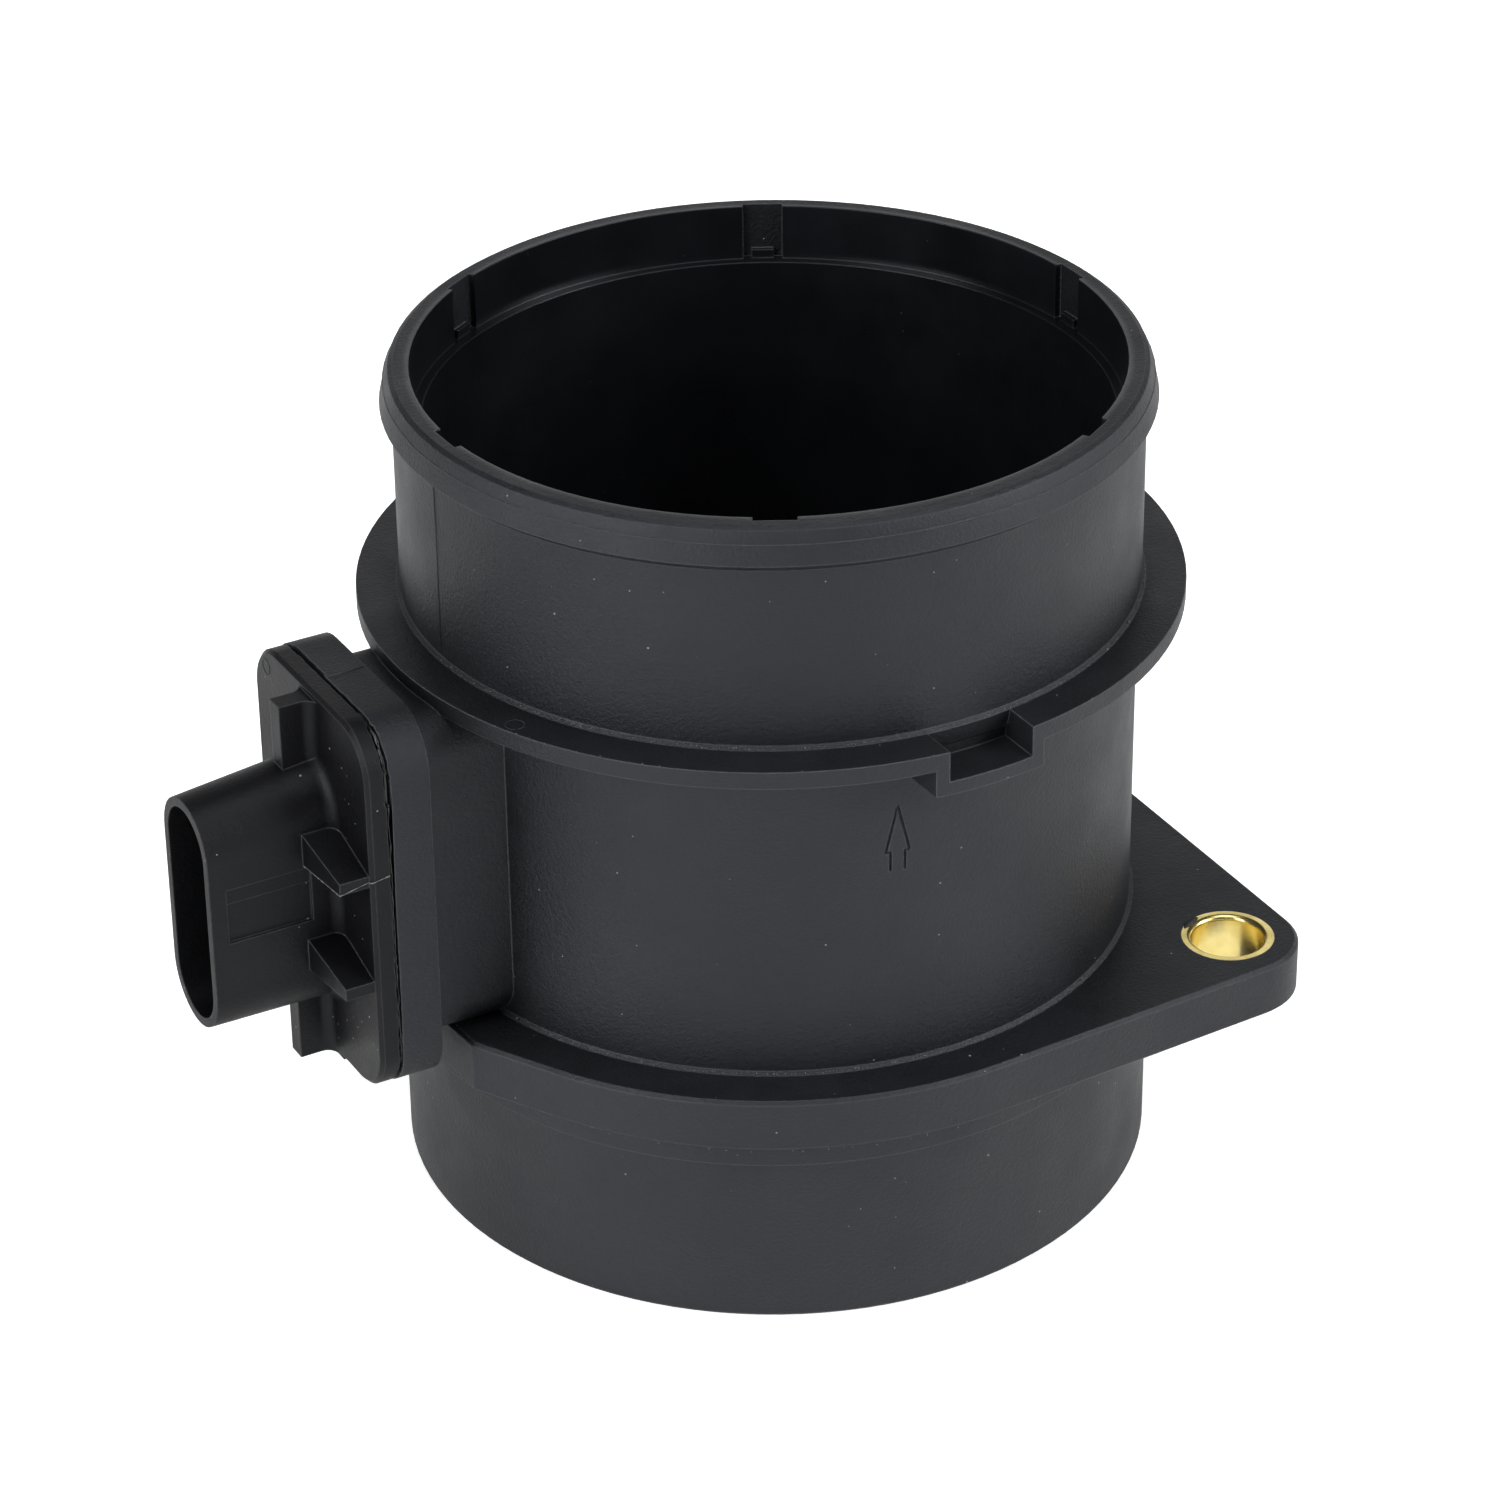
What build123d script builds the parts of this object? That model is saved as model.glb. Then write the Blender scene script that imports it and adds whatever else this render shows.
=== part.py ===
from math import cos, radians, sin
import os

from build123d import *

os.makedirs("parts", exist_ok=True)

# Millimetres. The tube axis is Z: air enters at Z = 0 and leaves at the top.
# The electrical head points along -X, and a reach is a distance that way from the tube axis.

# Tube, from the inlet upwards
inlet_radius = 37.5
inlet_bore_radius = 35.0
straightener_shoulder_z = 13.0
seat_radius = 38.3
seat_height = 3.0
seat_step = 0.5
bore_radius = 33.0
body_radius = 35.5
hose_radius = 35.85
tube_height = 84.9
edge_chamfer = 0.35
cove = 0.35

# Bead that holds the outlet hose, and the stepped mouth inside it
bead_drop = 4.4
bead_radius = 36.95
bead_widest_drop = 3.5
bead_shoulder_radius = 36.5
bead_shoulder_drop = 1.4
lip_radius = 35.9
mouth_radius = 34.0
mouth_depth = 5.7
rim_channel_count = 6
rim_channel_width = 4.0
rim_channel_depth = 0.6
rim_channel_angle = 1.5
snap_nub_width = 2.2
snap_nub_height = 0.9
snap_nub_depth = 0.5

# Mounting flange with two ears
flange_bottom_z = 21.2
flange_thickness = 5.5
flange_radius = 40.4
bolt_circle_radius = 46.0
ear_radius = 6.9
ear_angle = -44.0
pad_corner_reach = 39.2
pad_corner_half_width = 11.7
pad_corner_radius = 0.5
bushing_radius = 4.55
bushing_bore_radius = 3.55
bushing_lip = 0.5

# Locating ring with a dropped key slot
ring_radius = 40.1
ring_top_z = 62.2
ring_thickness = 1.75
key_angle = -89.2
key_slot_width = 8.9
key_wall = 1.35
key_floor_z = 59.1
key_floor_thickness = 1.4

# Neck and collar that carry the electrical head
neck_half_width = 9.8
neck_bottom_z = 26.3
neck_top_z = 60.8
neck_corner = 4.0
collar_half_width = 12.3
collar_bottom_z = 23.2
collar_top_z = 62.8
collar_corner = 5.2
collar_back_reach = 43.0
collar_depth = 4.2
window_half_width = 6.8
window_bottom_z = 29.7
window_top_z = 57.3
window_corner = 1.2
groove_inset = 1.7
groove_width = 2.0
groove_depth = 2.5

# Adhesive joint between the collar and the head
seam_gap = 0.2
seam_recess = 0.4
tongue_width = 1.2
tongue_length = 2.0
glue_clearance = 0.02

# Head plate, stiffening ribs and gussets
plate_inset = 0.1
plate_thickness = 2.0
plate_edge_chamfer = 0.4
rib_thickness = 2.0
rib_height = 3.4
rib_top_inset = 0.9
root_radius = 1.2
gusset_bottom_levels = (35.5, 47.0)
gusset_root_height = 3.3
gusset_tip_height = 1.2
gusset_root_depth = 3.6
gusset_tip_depth = 3.0
gusset_tip_inset = 0.6

# Plug shroud, a flat-sided oval that is taller at its root
shroud_thickness = 9.9
shroud_mouth_bottom_z = 30.1
shroud_mouth_top_z = 54.2
shroud_root_bottom_z = 29.9
shroud_root_top_z = 55.9
shroud_length = 15.2
shroud_wall = 1.3
socket_depth = 12.1
label_recess_depth = 0.35
label_step_depth = 0.2
label_bottom_z = 40.85
label_step_z = 45.0
label_top_z = 46.6
label_length = 8.6
label_mouth_margin = 1.7

# Terminals
terminal_count = 5
terminal_pitch = 3.5
terminal_width = 1.5
terminal_thickness = 0.6
terminal_tip_inset = 4.0
terminal_tip_chamfer = 0.22
terminal_overhang = 3.4

# Measuring arm that crosses the bore
arm_clearance = 0.3
arm_tip_reach = -8.5
arm_edge_radius = 3.0
cover_thickness = 1.5
cover_end_gap = 0.15
bay_inner_reach = 14.4
bay_depth_in_collar = 2.6
bay_bottom_z = 34.0
bay_top_z = 53.0
bay_floor_y = 2.0
channel_width = 6.0
channel_in_reach = 8.0
channel_out_reach = -2.7
channel_turn_z = 46.0
channel_out_bottom_z = 36.0
channel_floor_y = 3.0
exit_window_height = 6.0
cover_split_reach = 12.6
cover_plug_depth = 0.8
cover_plug_clearance = 0.15

# Electronics, stacked on a metal carrier plate
carrier_thickness = 1.0
carrier_clearance = 0.2
shelf_length = 4.0
board_thickness = 0.8
board_margin = 0.5
board_inner_reach = 18.6
control_chip_size = 5.0
control_chip_height = 1.2
control_chip_margin = 3.2
capacitor_count = 4
capacitor_length = 1.6
capacitor_width = 0.9
capacitor_height = 0.8
capacitor_gap = 3.1
capacitor_spacing = 2.2
holder_width = 5.0
holder_thickness = 1.2
holder_outer_reach = 18.0
holder_end_reach = 5.8
film_chip_length = 3.2
film_chip_width = 2.4
film_chip_thickness = 0.4
bond_wire_size = 0.3
bond_wire_rise = 0.8
bond_wire_inset = 0.8

# Intake air thermistor, in a notch in the arm's lower edge
sensor_notch_reach = 20.5
sensor_notch_length = 10.0
sensor_notch_top_z = 32.7
bead_diameter = 2.0
bead_end_chamfer = 0.35
bead_centre_z = 31.3
lead_size = 0.5
lead_spacing = 1.2
lead_end_z = 37.5

# Flow straightener, a honeycomb pressed up to the inlet shoulder
straightener_clearance = 0.15
straightener_height = 7.5
straightener_ring_wall = 1.7
cell_apothem = 3.8
cell_web = 0.6
web_height = 6.0

# Levels and reaches worked out from the sizes above
wall_middle_radius = (bore_radius + body_radius) / 2
bead_bottom_z = tube_height - bead_drop
bead_widest_z = tube_height - bead_widest_drop
bead_shoulder_z = tube_height - bead_shoulder_drop
flange_top_z = flange_bottom_z + flange_thickness
ring_bottom_z = ring_top_z - ring_thickness
mouth_ledge_z = tube_height - mouth_depth
collar_face_reach = collar_back_reach + collar_depth
plate_back_reach = collar_face_reach + seam_gap
plate_face_reach = plate_back_reach + plate_thickness
shroud_mouth_reach = plate_back_reach + shroud_length
socket_floor_reach = shroud_mouth_reach - socket_depth
label_end_reach = shroud_mouth_reach - label_mouth_margin
label_start_reach = label_end_reach - label_length
terminal_tip_reach = shroud_mouth_reach - terminal_tip_inset
bay_outer_reach = collar_back_reach - bay_depth_in_collar
shelf_reach = bay_outer_reach - shelf_length
terminal_inner_reach = bay_outer_reach - terminal_overhang
tongue_inset = groove_inset + (groove_width - tongue_width) / 2
arm_half_thickness = window_half_width - arm_clearance
arm_bottom_z = window_bottom_z + arm_clearance
arm_top_z = window_top_z - arm_clearance
arm_mid_z = (arm_bottom_z + arm_top_z) / 2
cover_seat_y = -(arm_half_thickness - cover_thickness)
bay_mid_z = (bay_bottom_z + bay_top_z) / 2
carrier_top_y = bay_floor_y - carrier_thickness
board_top_y = carrier_top_y - board_thickness
holder_top_y = carrier_top_y - holder_thickness
terminal_top_y = -terminal_thickness / 2
shroud_mid_z = (shroud_mouth_bottom_z + shroud_mouth_top_z) / 2
board_outer_reach = shelf_reach - carrier_clearance - board_margin
control_chip_reach = board_outer_reach - control_chip_margin - control_chip_size / 2
capacitor_reach = control_chip_reach - control_chip_size / 2 - capacitor_gap - capacitor_length / 2
past = 1.0


def ear_points():
    """Centres of the two bolt holes, opposite each other."""
    x = bolt_circle_radius * cos(radians(ear_angle))
    y = bolt_circle_radius * sin(radians(ear_angle))
    return [(x, y), (-x, -y)]


def key_plane(z):
    """A level plane whose X axis points out through the middle of the key slot."""
    return Plane(origin=(0, 0, z), x_dir=(cos(radians(key_angle)), sin(radians(key_angle)), 0))


def terminal_levels():
    """Heights of the terminals, evenly spaced about the middle of the shroud."""
    first = shroud_mid_z - terminal_pitch * (terminal_count - 1) / 2
    return [first + i * terminal_pitch for i in range(terminal_count)]


def lead_points():
    """Places of the thermistor's leads in X and Y, resting on the circuit board."""
    x = -(sensor_notch_reach + sensor_notch_length / 2)
    y = board_top_y - lead_size / 2
    return [(x - lead_spacing / 2, y), (x + lead_spacing / 2, y)]


def collar_outline(inset, mode=Mode.ADD):
    """The collar's rounded outline in Y and Z, drawn smaller by an inset."""
    with Locations((0, (collar_bottom_z + collar_top_z) / 2)):
        RectangleRounded(
            2 * (collar_half_width - inset),
            collar_top_z - collar_bottom_z - 2 * inset,
            max(collar_corner - inset, edge_chamfer),
            mode=mode,
        )


def window_outline(mode=Mode.ADD):
    """The opening in Y and Z that the measuring arm goes in through."""
    with Locations((0, (window_bottom_z + window_top_z) / 2)):
        RectangleRounded(
            2 * window_half_width, window_top_z - window_bottom_z, window_corner, mode=mode
        )


def arm_outline():
    """The measuring arm's section in Y and Z, with rounded edges towards the flow."""
    with Locations((0, arm_mid_z)):
        RectangleRounded(2 * arm_half_thickness, arm_top_z - arm_bottom_z, arm_edge_radius)


def cover_outline():
    """The slice of the arm's section that its covers take up."""
    arm_outline()
    with Locations((cover_seat_y, arm_mid_z)):
        Rectangle(
            arm_half_thickness,
            arm_top_z - arm_bottom_z,
            align=(Align.MAX, Align.CENTER),
            mode=Mode.INTERSECT,
        )


def oval(bottom_z, top_z, thickness):
    """A flat-sided oval in Y and Z that stands on end."""
    with Locations((0, (bottom_z + top_z) / 2)):
        SlotOverall(top_z - bottom_z, thickness, rotation=90)


def channel_path():
    """Middle line of the air channel in X and Z: up, round and down again."""
    turn_radius = (channel_in_reach - channel_out_reach) / 2
    Line((-channel_in_reach, arm_bottom_z - past), (-channel_in_reach, channel_turn_z))
    ThreePointArc(
        (-channel_in_reach, channel_turn_z),
        (-channel_in_reach + turn_radius, channel_turn_z + turn_radius),
        (-channel_out_reach, channel_turn_z),
    )
    Line((-channel_out_reach, channel_turn_z), (-channel_out_reach, channel_out_bottom_z))


def block(reaches, ys, zs, mode=Mode.ADD):
    """A block between two reaches, two Y values and two heights, in the part that is open."""
    with Locations((-sum(reaches) / 2, sum(ys) / 2, sum(zs) / 2)):
        Box(reaches[1] - reaches[0], ys[1] - ys[0], zs[1] - zs[0], mode=mode)


def make_neck():
    """Neck and collar, which start inside the tube's wall."""
    with BuildPart() as neck:
        with BuildSketch(Plane.YZ.offset(-bore_radius / 2)):
            with Locations((0, (neck_bottom_z + neck_top_z) / 2)):
                RectangleRounded(2 * neck_half_width, neck_top_z - neck_bottom_z, neck_corner)
        extrude(amount=bore_radius / 2 - collar_back_reach)
        with BuildSketch(Plane.YZ.offset(-collar_back_reach)):
            collar_outline(0)
        extrude(amount=collar_back_reach - collar_face_reach)
        with BuildSketch(Plane.XY.offset(neck_bottom_z)):
            Circle(wall_middle_radius)
        extrude(amount=neck_top_z - neck_bottom_z, mode=Mode.SUBTRACT)
    return neck.part


def make_flange():
    """Flange: the tightest outline round its disc, both ears and the pad under the neck."""
    with BuildPart() as flange:
        with BuildSketch(Plane.XY.offset(flange_bottom_z)):
            Circle(flange_radius)
            with Locations(*ear_points()):
                Circle(ear_radius)
            with Locations(
                (-pad_corner_reach, pad_corner_half_width),
                (-pad_corner_reach, -pad_corner_half_width),
            ):
                Circle(pad_corner_radius)
            make_hull()
        extrude(amount=flange_thickness)
        flange_rims = flange.edges().group_by(Axis.Z)
        chamfer(flange_rims[0] + flange_rims[-1], edge_chamfer)
        with BuildSketch(Plane.XY.offset(flange_bottom_z)):
            Circle(wall_middle_radius)
            with Locations(*ear_points()):
                Circle(bushing_radius)
        extrude(amount=flange_thickness, mode=Mode.SUBTRACT)
    return flange.part


def make_ring():
    """Locating ring with its key slot, whose walls and floor hang below the ring."""
    key_floor_bottom_z = key_floor_z - key_floor_thickness
    with BuildPart() as ring:
        with BuildSketch(Plane.XY.offset(ring_bottom_z)):
            Circle(ring_radius)
            Circle(wall_middle_radius, mode=Mode.SUBTRACT)
        extrude(amount=ring_thickness)
        with BuildSketch(key_plane(key_floor_bottom_z)):
            Circle(ring_radius)
            Circle(wall_middle_radius, mode=Mode.SUBTRACT)
            Rectangle(
                ring_radius,
                key_slot_width + 2 * key_wall,
                align=(Align.MIN, Align.CENTER),
                mode=Mode.INTERSECT,
            )
        extrude(amount=ring_bottom_z - key_floor_bottom_z)
        with BuildSketch(key_plane(key_floor_z)):
            Rectangle(ring_radius + past, key_slot_width, align=(Align.MIN, Align.CENTER))
        extrude(amount=ring_top_z - key_floor_z, mode=Mode.SUBTRACT)
    return ring.part


def make_housing(neck, flange, ring):
    """One moulding: tube with hose bead and ring, flange with ears, neck and collar."""
    with BuildPart() as housing:
        # Wall of the tube, turned about Z
        with BuildSketch(Plane.XZ) as wall:
            with BuildLine():
                Polyline(
                    (inlet_bore_radius, 0),
                    (inlet_radius, 0),
                    (inlet_radius, flange_bottom_z - seat_height - seat_step),
                    (seat_radius, flange_bottom_z - seat_height),
                    (seat_radius, flange_top_z),
                    (body_radius + cove, flange_top_z),
                    (body_radius, flange_top_z + cove),
                    (body_radius, ring_bottom_z - cove),
                    (body_radius + cove, ring_bottom_z),
                    (hose_radius + cove, ring_top_z),
                    (hose_radius, ring_top_z + cove),
                    (hose_radius, bead_bottom_z),
                    (bead_radius, bead_widest_z),
                    (bead_shoulder_radius, bead_shoulder_z),
                    (lip_radius, tube_height),
                    (mouth_radius, tube_height),
                    (mouth_radius, mouth_ledge_z),
                    (bore_radius, mouth_ledge_z),
                    (bore_radius, straightener_shoulder_z),
                    (inlet_bore_radius, straightener_shoulder_z),
                    close=True,
                )
            make_face()
            spigot_corner = wall.vertices().group_by(Axis.Y)[0].sort_by(Axis.X)[-1]
            lip_corner = wall.vertices().filter_by(
                lambda corner: corner.X > mouth_radius + edge_chamfer and corner.Y > bead_shoulder_z
            ).sort_by(Axis.Y)[-1]
            chamfer([spigot_corner, lip_corner], edge_chamfer)
        revolve(axis=Axis.Z)
        add(ring)
        add(flange)
        add(neck)

        # Groove for the adhesive, then the arm's window, right through to the bore
        with BuildSketch(Plane.YZ.offset(-collar_face_reach)):
            collar_outline(groove_inset)
            collar_outline(groove_inset + groove_width, Mode.SUBTRACT)
        extrude(amount=groove_depth, mode=Mode.SUBTRACT)
        with BuildSketch(Plane.YZ.offset(-collar_face_reach)):
            window_outline()
        extrude(amount=collar_face_reach - bore_radius / 2, mode=Mode.SUBTRACT)

        # Channels down the wall of the mouth, with a snap nub at the foot of each
        channel_wall_radius = mouth_radius + rim_channel_depth
        nub_face_radius = channel_wall_radius - snap_nub_depth
        with BuildSketch(Plane.XY.offset(mouth_ledge_z)):
            with PolarLocations(bore_radius, rim_channel_count, start_angle=rim_channel_angle):
                Rectangle(
                    channel_wall_radius - bore_radius,
                    rim_channel_width,
                    align=(Align.MIN, Align.CENTER),
                )
        extrude(amount=mouth_depth, mode=Mode.SUBTRACT)
        with BuildSketch(Plane.XY.offset(mouth_ledge_z)):
            with PolarLocations(nub_face_radius, rim_channel_count, start_angle=rim_channel_angle):
                Rectangle(2 * snap_nub_depth, snap_nub_width, align=(Align.MIN, Align.CENTER))
        extrude(amount=snap_nub_height)
    housing.part.label = "housing"
    return housing.part


def make_bushings():
    """Two brass bushings moulded into the ears, with a bevelled lip at both ends of the bore."""
    with BuildPart() as bushings:
        with BuildSketch(Plane.XY.offset(flange_bottom_z)):
            with Locations(*ear_points()):
                Circle(bushing_radius)
                Circle(bushing_bore_radius, mode=Mode.SUBTRACT)
        extrude(amount=flange_thickness)
        bore_rims = bushings.edges().filter_by(GeomType.CIRCLE).filter_by(
            lambda rim: rim.radius < (bushing_bore_radius + bushing_radius) / 2
        )
        chamfer(bore_rims, bushing_lip)
    bushings.part.label = "mounting_bushings"
    return bushings.part


def make_straightener():
    """Moulded honeycomb in a ring, pressed up to the shoulder in the inlet."""
    outer_radius = inlet_bore_radius - straightener_clearance
    inner_radius = outer_radius - straightener_ring_wall
    bottom_z = straightener_shoulder_z - straightener_height
    cell_pitch = cell_apothem + cell_web / 2
    row_count = 2 * int(outer_radius / (2 * cell_pitch)) + 5
    with BuildPart() as straightener:
        with BuildSketch(Plane.XY.offset(bottom_z)):
            Circle(inner_radius + cell_web)
            with HexLocations(cell_pitch, row_count, row_count):
                RegularPolygon(cell_apothem, 6, major_radius=False, mode=Mode.SUBTRACT)
        extrude(amount=web_height)
        with BuildSketch(Plane.XY.offset(bottom_z)):
            Circle(outer_radius)
            Circle(inner_radius, mode=Mode.SUBTRACT)
        extrude(amount=straightener_height)
    straightener.part.label = "flow_straightener"
    return straightener.part


def make_gussets():
    """Wedges across the shroud: level below, sloping above and drawn in towards their tips."""
    tip_y = collar_half_width - gusset_tip_inset
    slope = (gusset_root_height - gusset_tip_height) / (tip_y - shroud_thickness / 2)
    tip_reach = plate_face_reach + gusset_tip_depth
    root_reach = plate_face_reach + gusset_root_depth
    with BuildPart() as gussets:
        for level in gusset_bottom_levels:
            with BuildSketch(Plane.YZ.offset(-plate_back_reach)):
                with BuildLine():
                    Polyline(
                        (-tip_y, level),
                        (tip_y, level),
                        (tip_y, level + gusset_tip_height),
                        (0, level + gusset_tip_height + slope * tip_y),
                        (-tip_y, level + gusset_tip_height),
                        close=True,
                    )
                make_face()
            extrude(amount=plate_back_reach - root_reach)
        with BuildSketch(Plane.XY.offset(collar_bottom_z)):
            with BuildLine():
                Polyline(
                    (-plate_back_reach, -tip_y),
                    (-tip_reach, -tip_y),
                    (-root_reach, -shroud_thickness / 2),
                    (-root_reach, shroud_thickness / 2),
                    (-tip_reach, tip_y),
                    (-plate_back_reach, tip_y),
                    close=True,
                )
            make_face()
        extrude(amount=collar_top_z - collar_bottom_z, mode=Mode.INTERSECT)
    return gussets.part


def make_shroud():
    """Solid flat-sided oval between two round edges that draw together towards its mouth."""
    radius = shroud_thickness / 2
    top_axis = (
        Vector(-plate_back_reach, 0, shroud_root_top_z - radius),
        Vector(-shroud_mouth_reach, 0, shroud_mouth_top_z - radius),
    )
    bottom_axis = (
        Vector(-plate_back_reach, 0, shroud_root_bottom_z + radius),
        Vector(-shroud_mouth_reach, 0, shroud_mouth_bottom_z + radius),
    )
    with BuildPart() as shroud:
        for start, end in (top_axis, bottom_axis):
            with BuildSketch(Plane(origin=start, x_dir=(0, 1, 0), z_dir=end - start)):
                Circle(radius)
            extrude(amount=shroud_length + past, both=True)
        with BuildSketch(Plane.XZ.offset(-radius)):
            with BuildLine():
                Polyline(
                    *[(point.X, point.Z) for point in (*top_axis, *reversed(bottom_axis))],
                    close=True,
                )
            make_face()
        extrude(amount=shroud_thickness)
        block(
            (plate_back_reach, shroud_mouth_reach),
            (-shroud_thickness, shroud_thickness),
            (collar_bottom_z, collar_top_z),
            Mode.INTERSECT,
        )
    return shroud.part


def make_sensor_head(shroud, gussets):
    """One moulding: plug shroud, ribbed plate, tongue, and the arm with its bay and air channel."""
    with BuildPart() as head:
        # Plate, and the tongue that goes into the collar's groove
        with BuildSketch(Plane.YZ.offset(-plate_back_reach)):
            collar_outline(plate_inset)
        extrude(amount=-plate_thickness)
        chamfer(head.faces().sort_by(Axis.X)[0].edges(), plate_edge_chamfer)
        with BuildSketch(Plane.YZ.offset(-plate_back_reach)):
            collar_outline(tongue_inset)
            collar_outline(tongue_inset + tongue_width, Mode.SUBTRACT)
        extrude(amount=tongue_length)

        # Shroud, solid at first, and rounded into the plate
        add(shroud)
        shroud_root = head.faces().filter_by(
            lambda face: abs(face.center().X + plate_face_reach) < seam_gap / 2
        ).sort_by(SortBy.AREA)[-1].inner_wires()[0].edges()
        fillet(shroud_root, root_radius)

        # Ribs above and below the shroud, flared into the plate, and the gussets beside it
        with BuildSketch(Plane.XY.offset(collar_bottom_z + plate_inset)) as rib:
            with Locations((-plate_back_reach, 0)):
                Rectangle(
                    plate_thickness,
                    rib_thickness + 4 * root_radius,
                    align=(Align.MAX, Align.CENTER),
                )
                Rectangle(
                    plate_thickness + rib_height,
                    rib_thickness,
                    align=(Align.MAX, Align.CENTER),
                )
            inner_corners = rib.vertices().filter_by(
                lambda corner: abs(corner.X + plate_face_reach) < seam_gap / 2
                and abs(corner.Y) < rib_thickness / 2 + root_radius
            )
            fillet(inner_corners, root_radius)
        extrude(amount=collar_top_z - rib_top_inset - collar_bottom_z - plate_inset)
        add(gussets)

        # Bare shallow recess in two steps on the shroud's near side
        near_side_y = -shroud_thickness / 2
        recess_reaches = (label_start_reach, label_end_reach)
        block(
            recess_reaches,
            (near_side_y - past, near_side_y + label_recess_depth),
            (label_bottom_z, label_step_z),
            Mode.SUBTRACT,
        )
        block(
            recess_reaches,
            (near_side_y - past, near_side_y + label_step_depth),
            (label_step_z, label_top_z),
            Mode.SUBTRACT,
        )

        # Measuring arm
        with BuildSketch(Plane.YZ.offset(-plate_back_reach)):
            arm_outline()
        extrude(amount=plate_back_reach - arm_tip_reach)

        # Seat for the two covers, then the electronics bay and its terminal shelf
        block(
            (arm_tip_reach - past, bay_outer_reach + cover_thickness),
            (-arm_half_thickness - past, cover_seat_y),
            (arm_bottom_z - past, arm_top_z + past),
            Mode.SUBTRACT,
        )
        block(
            (bay_inner_reach, shelf_reach),
            (cover_seat_y - past, bay_floor_y),
            (bay_bottom_z, bay_top_z),
            Mode.SUBTRACT,
        )
        block(
            (shelf_reach, bay_outer_reach),
            (cover_seat_y - past, terminal_thickness / 2),
            (bay_bottom_z, bay_top_z),
            Mode.SUBTRACT,
        )

        # Air channel, its side exit, and the slot that the chip holder lies in
        with BuildSketch(Plane.XZ.offset(-channel_floor_y)):
            with BuildLine():
                channel_path()
            trace(line_width=channel_width)
        extrude(amount=channel_floor_y + arm_half_thickness, mode=Mode.SUBTRACT)
        block(
            (channel_out_reach - channel_width / 2, channel_out_reach + channel_width / 2),
            (0, arm_half_thickness + past),
            (channel_out_bottom_z, channel_out_bottom_z + exit_window_height),
            Mode.SUBTRACT,
        )
        block(
            (channel_in_reach, bay_inner_reach + past),
            (cover_seat_y - past, carrier_top_y),
            (arm_mid_z - holder_width / 2, arm_mid_z + holder_width / 2),
            Mode.SUBTRACT,
        )

        # Notch for the thermistor, and the holes for its leads
        block(
            (sensor_notch_reach, sensor_notch_reach + sensor_notch_length),
            (-arm_half_thickness - past, arm_half_thickness + past),
            (arm_bottom_z - past, sensor_notch_top_z),
            Mode.SUBTRACT,
        )
        with BuildSketch(Plane.XY.offset(sensor_notch_top_z)):
            with Locations(*lead_points()):
                Rectangle(lead_size, lead_size)
        extrude(amount=bay_bottom_z - sensor_notch_top_z, mode=Mode.SUBTRACT)

        # Socket, open at the shroud's mouth
        with BuildSketch(Plane.YZ.offset(-shroud_mouth_reach)):
            oval(
                shroud_mouth_bottom_z + shroud_wall,
                shroud_mouth_top_z - shroud_wall,
                shroud_thickness - 2 * shroud_wall,
            )
        extrude(amount=shroud_mouth_reach - socket_floor_reach, mode=Mode.SUBTRACT)

        # The terminals are moulded in, so the plastic has their outline
        for level in terminal_levels():
            block(
                (bay_outer_reach, socket_floor_reach),
                (-terminal_thickness / 2, terminal_thickness / 2),
                (level - terminal_width / 2, level + terminal_width / 2),
                Mode.SUBTRACT,
            )
    head.part.label = "sensor_head"
    return head.part


def make_seal_bead():
    """Adhesive that fills the groove round the tongue and the seam between collar and plate."""
    with BuildPart() as seal:
        with BuildSketch(Plane.YZ.offset(-plate_back_reach)):
            collar_outline(seam_recess)
            window_outline(Mode.SUBTRACT)
        extrude(amount=seam_gap)
        with BuildSketch(Plane.YZ.offset(-collar_face_reach)):
            collar_outline(groove_inset + glue_clearance)
            collar_outline(groove_inset + groove_width - glue_clearance, Mode.SUBTRACT)
        extrude(amount=groove_depth)
        with BuildSketch(Plane.YZ.offset(-plate_back_reach)):
            collar_outline(tongue_inset - glue_clearance)
            collar_outline(tongue_inset + tongue_width + glue_clearance, Mode.SUBTRACT)
        extrude(amount=tongue_length, mode=Mode.SUBTRACT)
    seal.part.label = "seal_bead"
    return seal.part


def make_terminal(number, level):
    """One blade, from its bonding end in the bay to its chamfered tip in the socket."""
    with BuildPart() as terminal:
        with BuildSketch(Plane.YZ.offset(-terminal_inner_reach)):
            with Locations((0, level)):
                Rectangle(terminal_thickness, terminal_width)
        extrude(amount=terminal_inner_reach - terminal_tip_reach)
        chamfer(terminal.faces().sort_by(Axis.X)[0].edges(), terminal_tip_chamfer)
    terminal.part.label = f"terminal_{number}"
    return terminal.part


def make_base_plate():
    """Metal carrier on the floor of the bay."""
    with BuildPart() as plate:
        block(
            (bay_inner_reach + carrier_clearance, shelf_reach - carrier_clearance),
            (carrier_top_y, bay_floor_y),
            (bay_bottom_z + carrier_clearance, bay_top_z - carrier_clearance),
        )
    plate.part.label = "base_plate"
    return plate.part


def make_circuit_board():
    """Ceramic board on the carrier, between the chip holder and the terminals."""
    with BuildPart() as board:
        block(
            (board_inner_reach, board_outer_reach),
            (board_top_y, carrier_top_y),
            (bay_bottom_z + board_margin, bay_top_z - board_margin),
        )
    board.part.label = "circuit_board"
    return board.part


def make_control_chip():
    """Square control circuit near the terminals."""
    with BuildPart() as chip:
        with BuildSketch(Plane.XZ.offset(-board_top_y)):
            with Locations((-control_chip_reach, bay_mid_z)):
                Rectangle(control_chip_size, control_chip_size)
        extrude(amount=control_chip_height)
    chip.part.label = "control_chip"
    return chip.part


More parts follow.
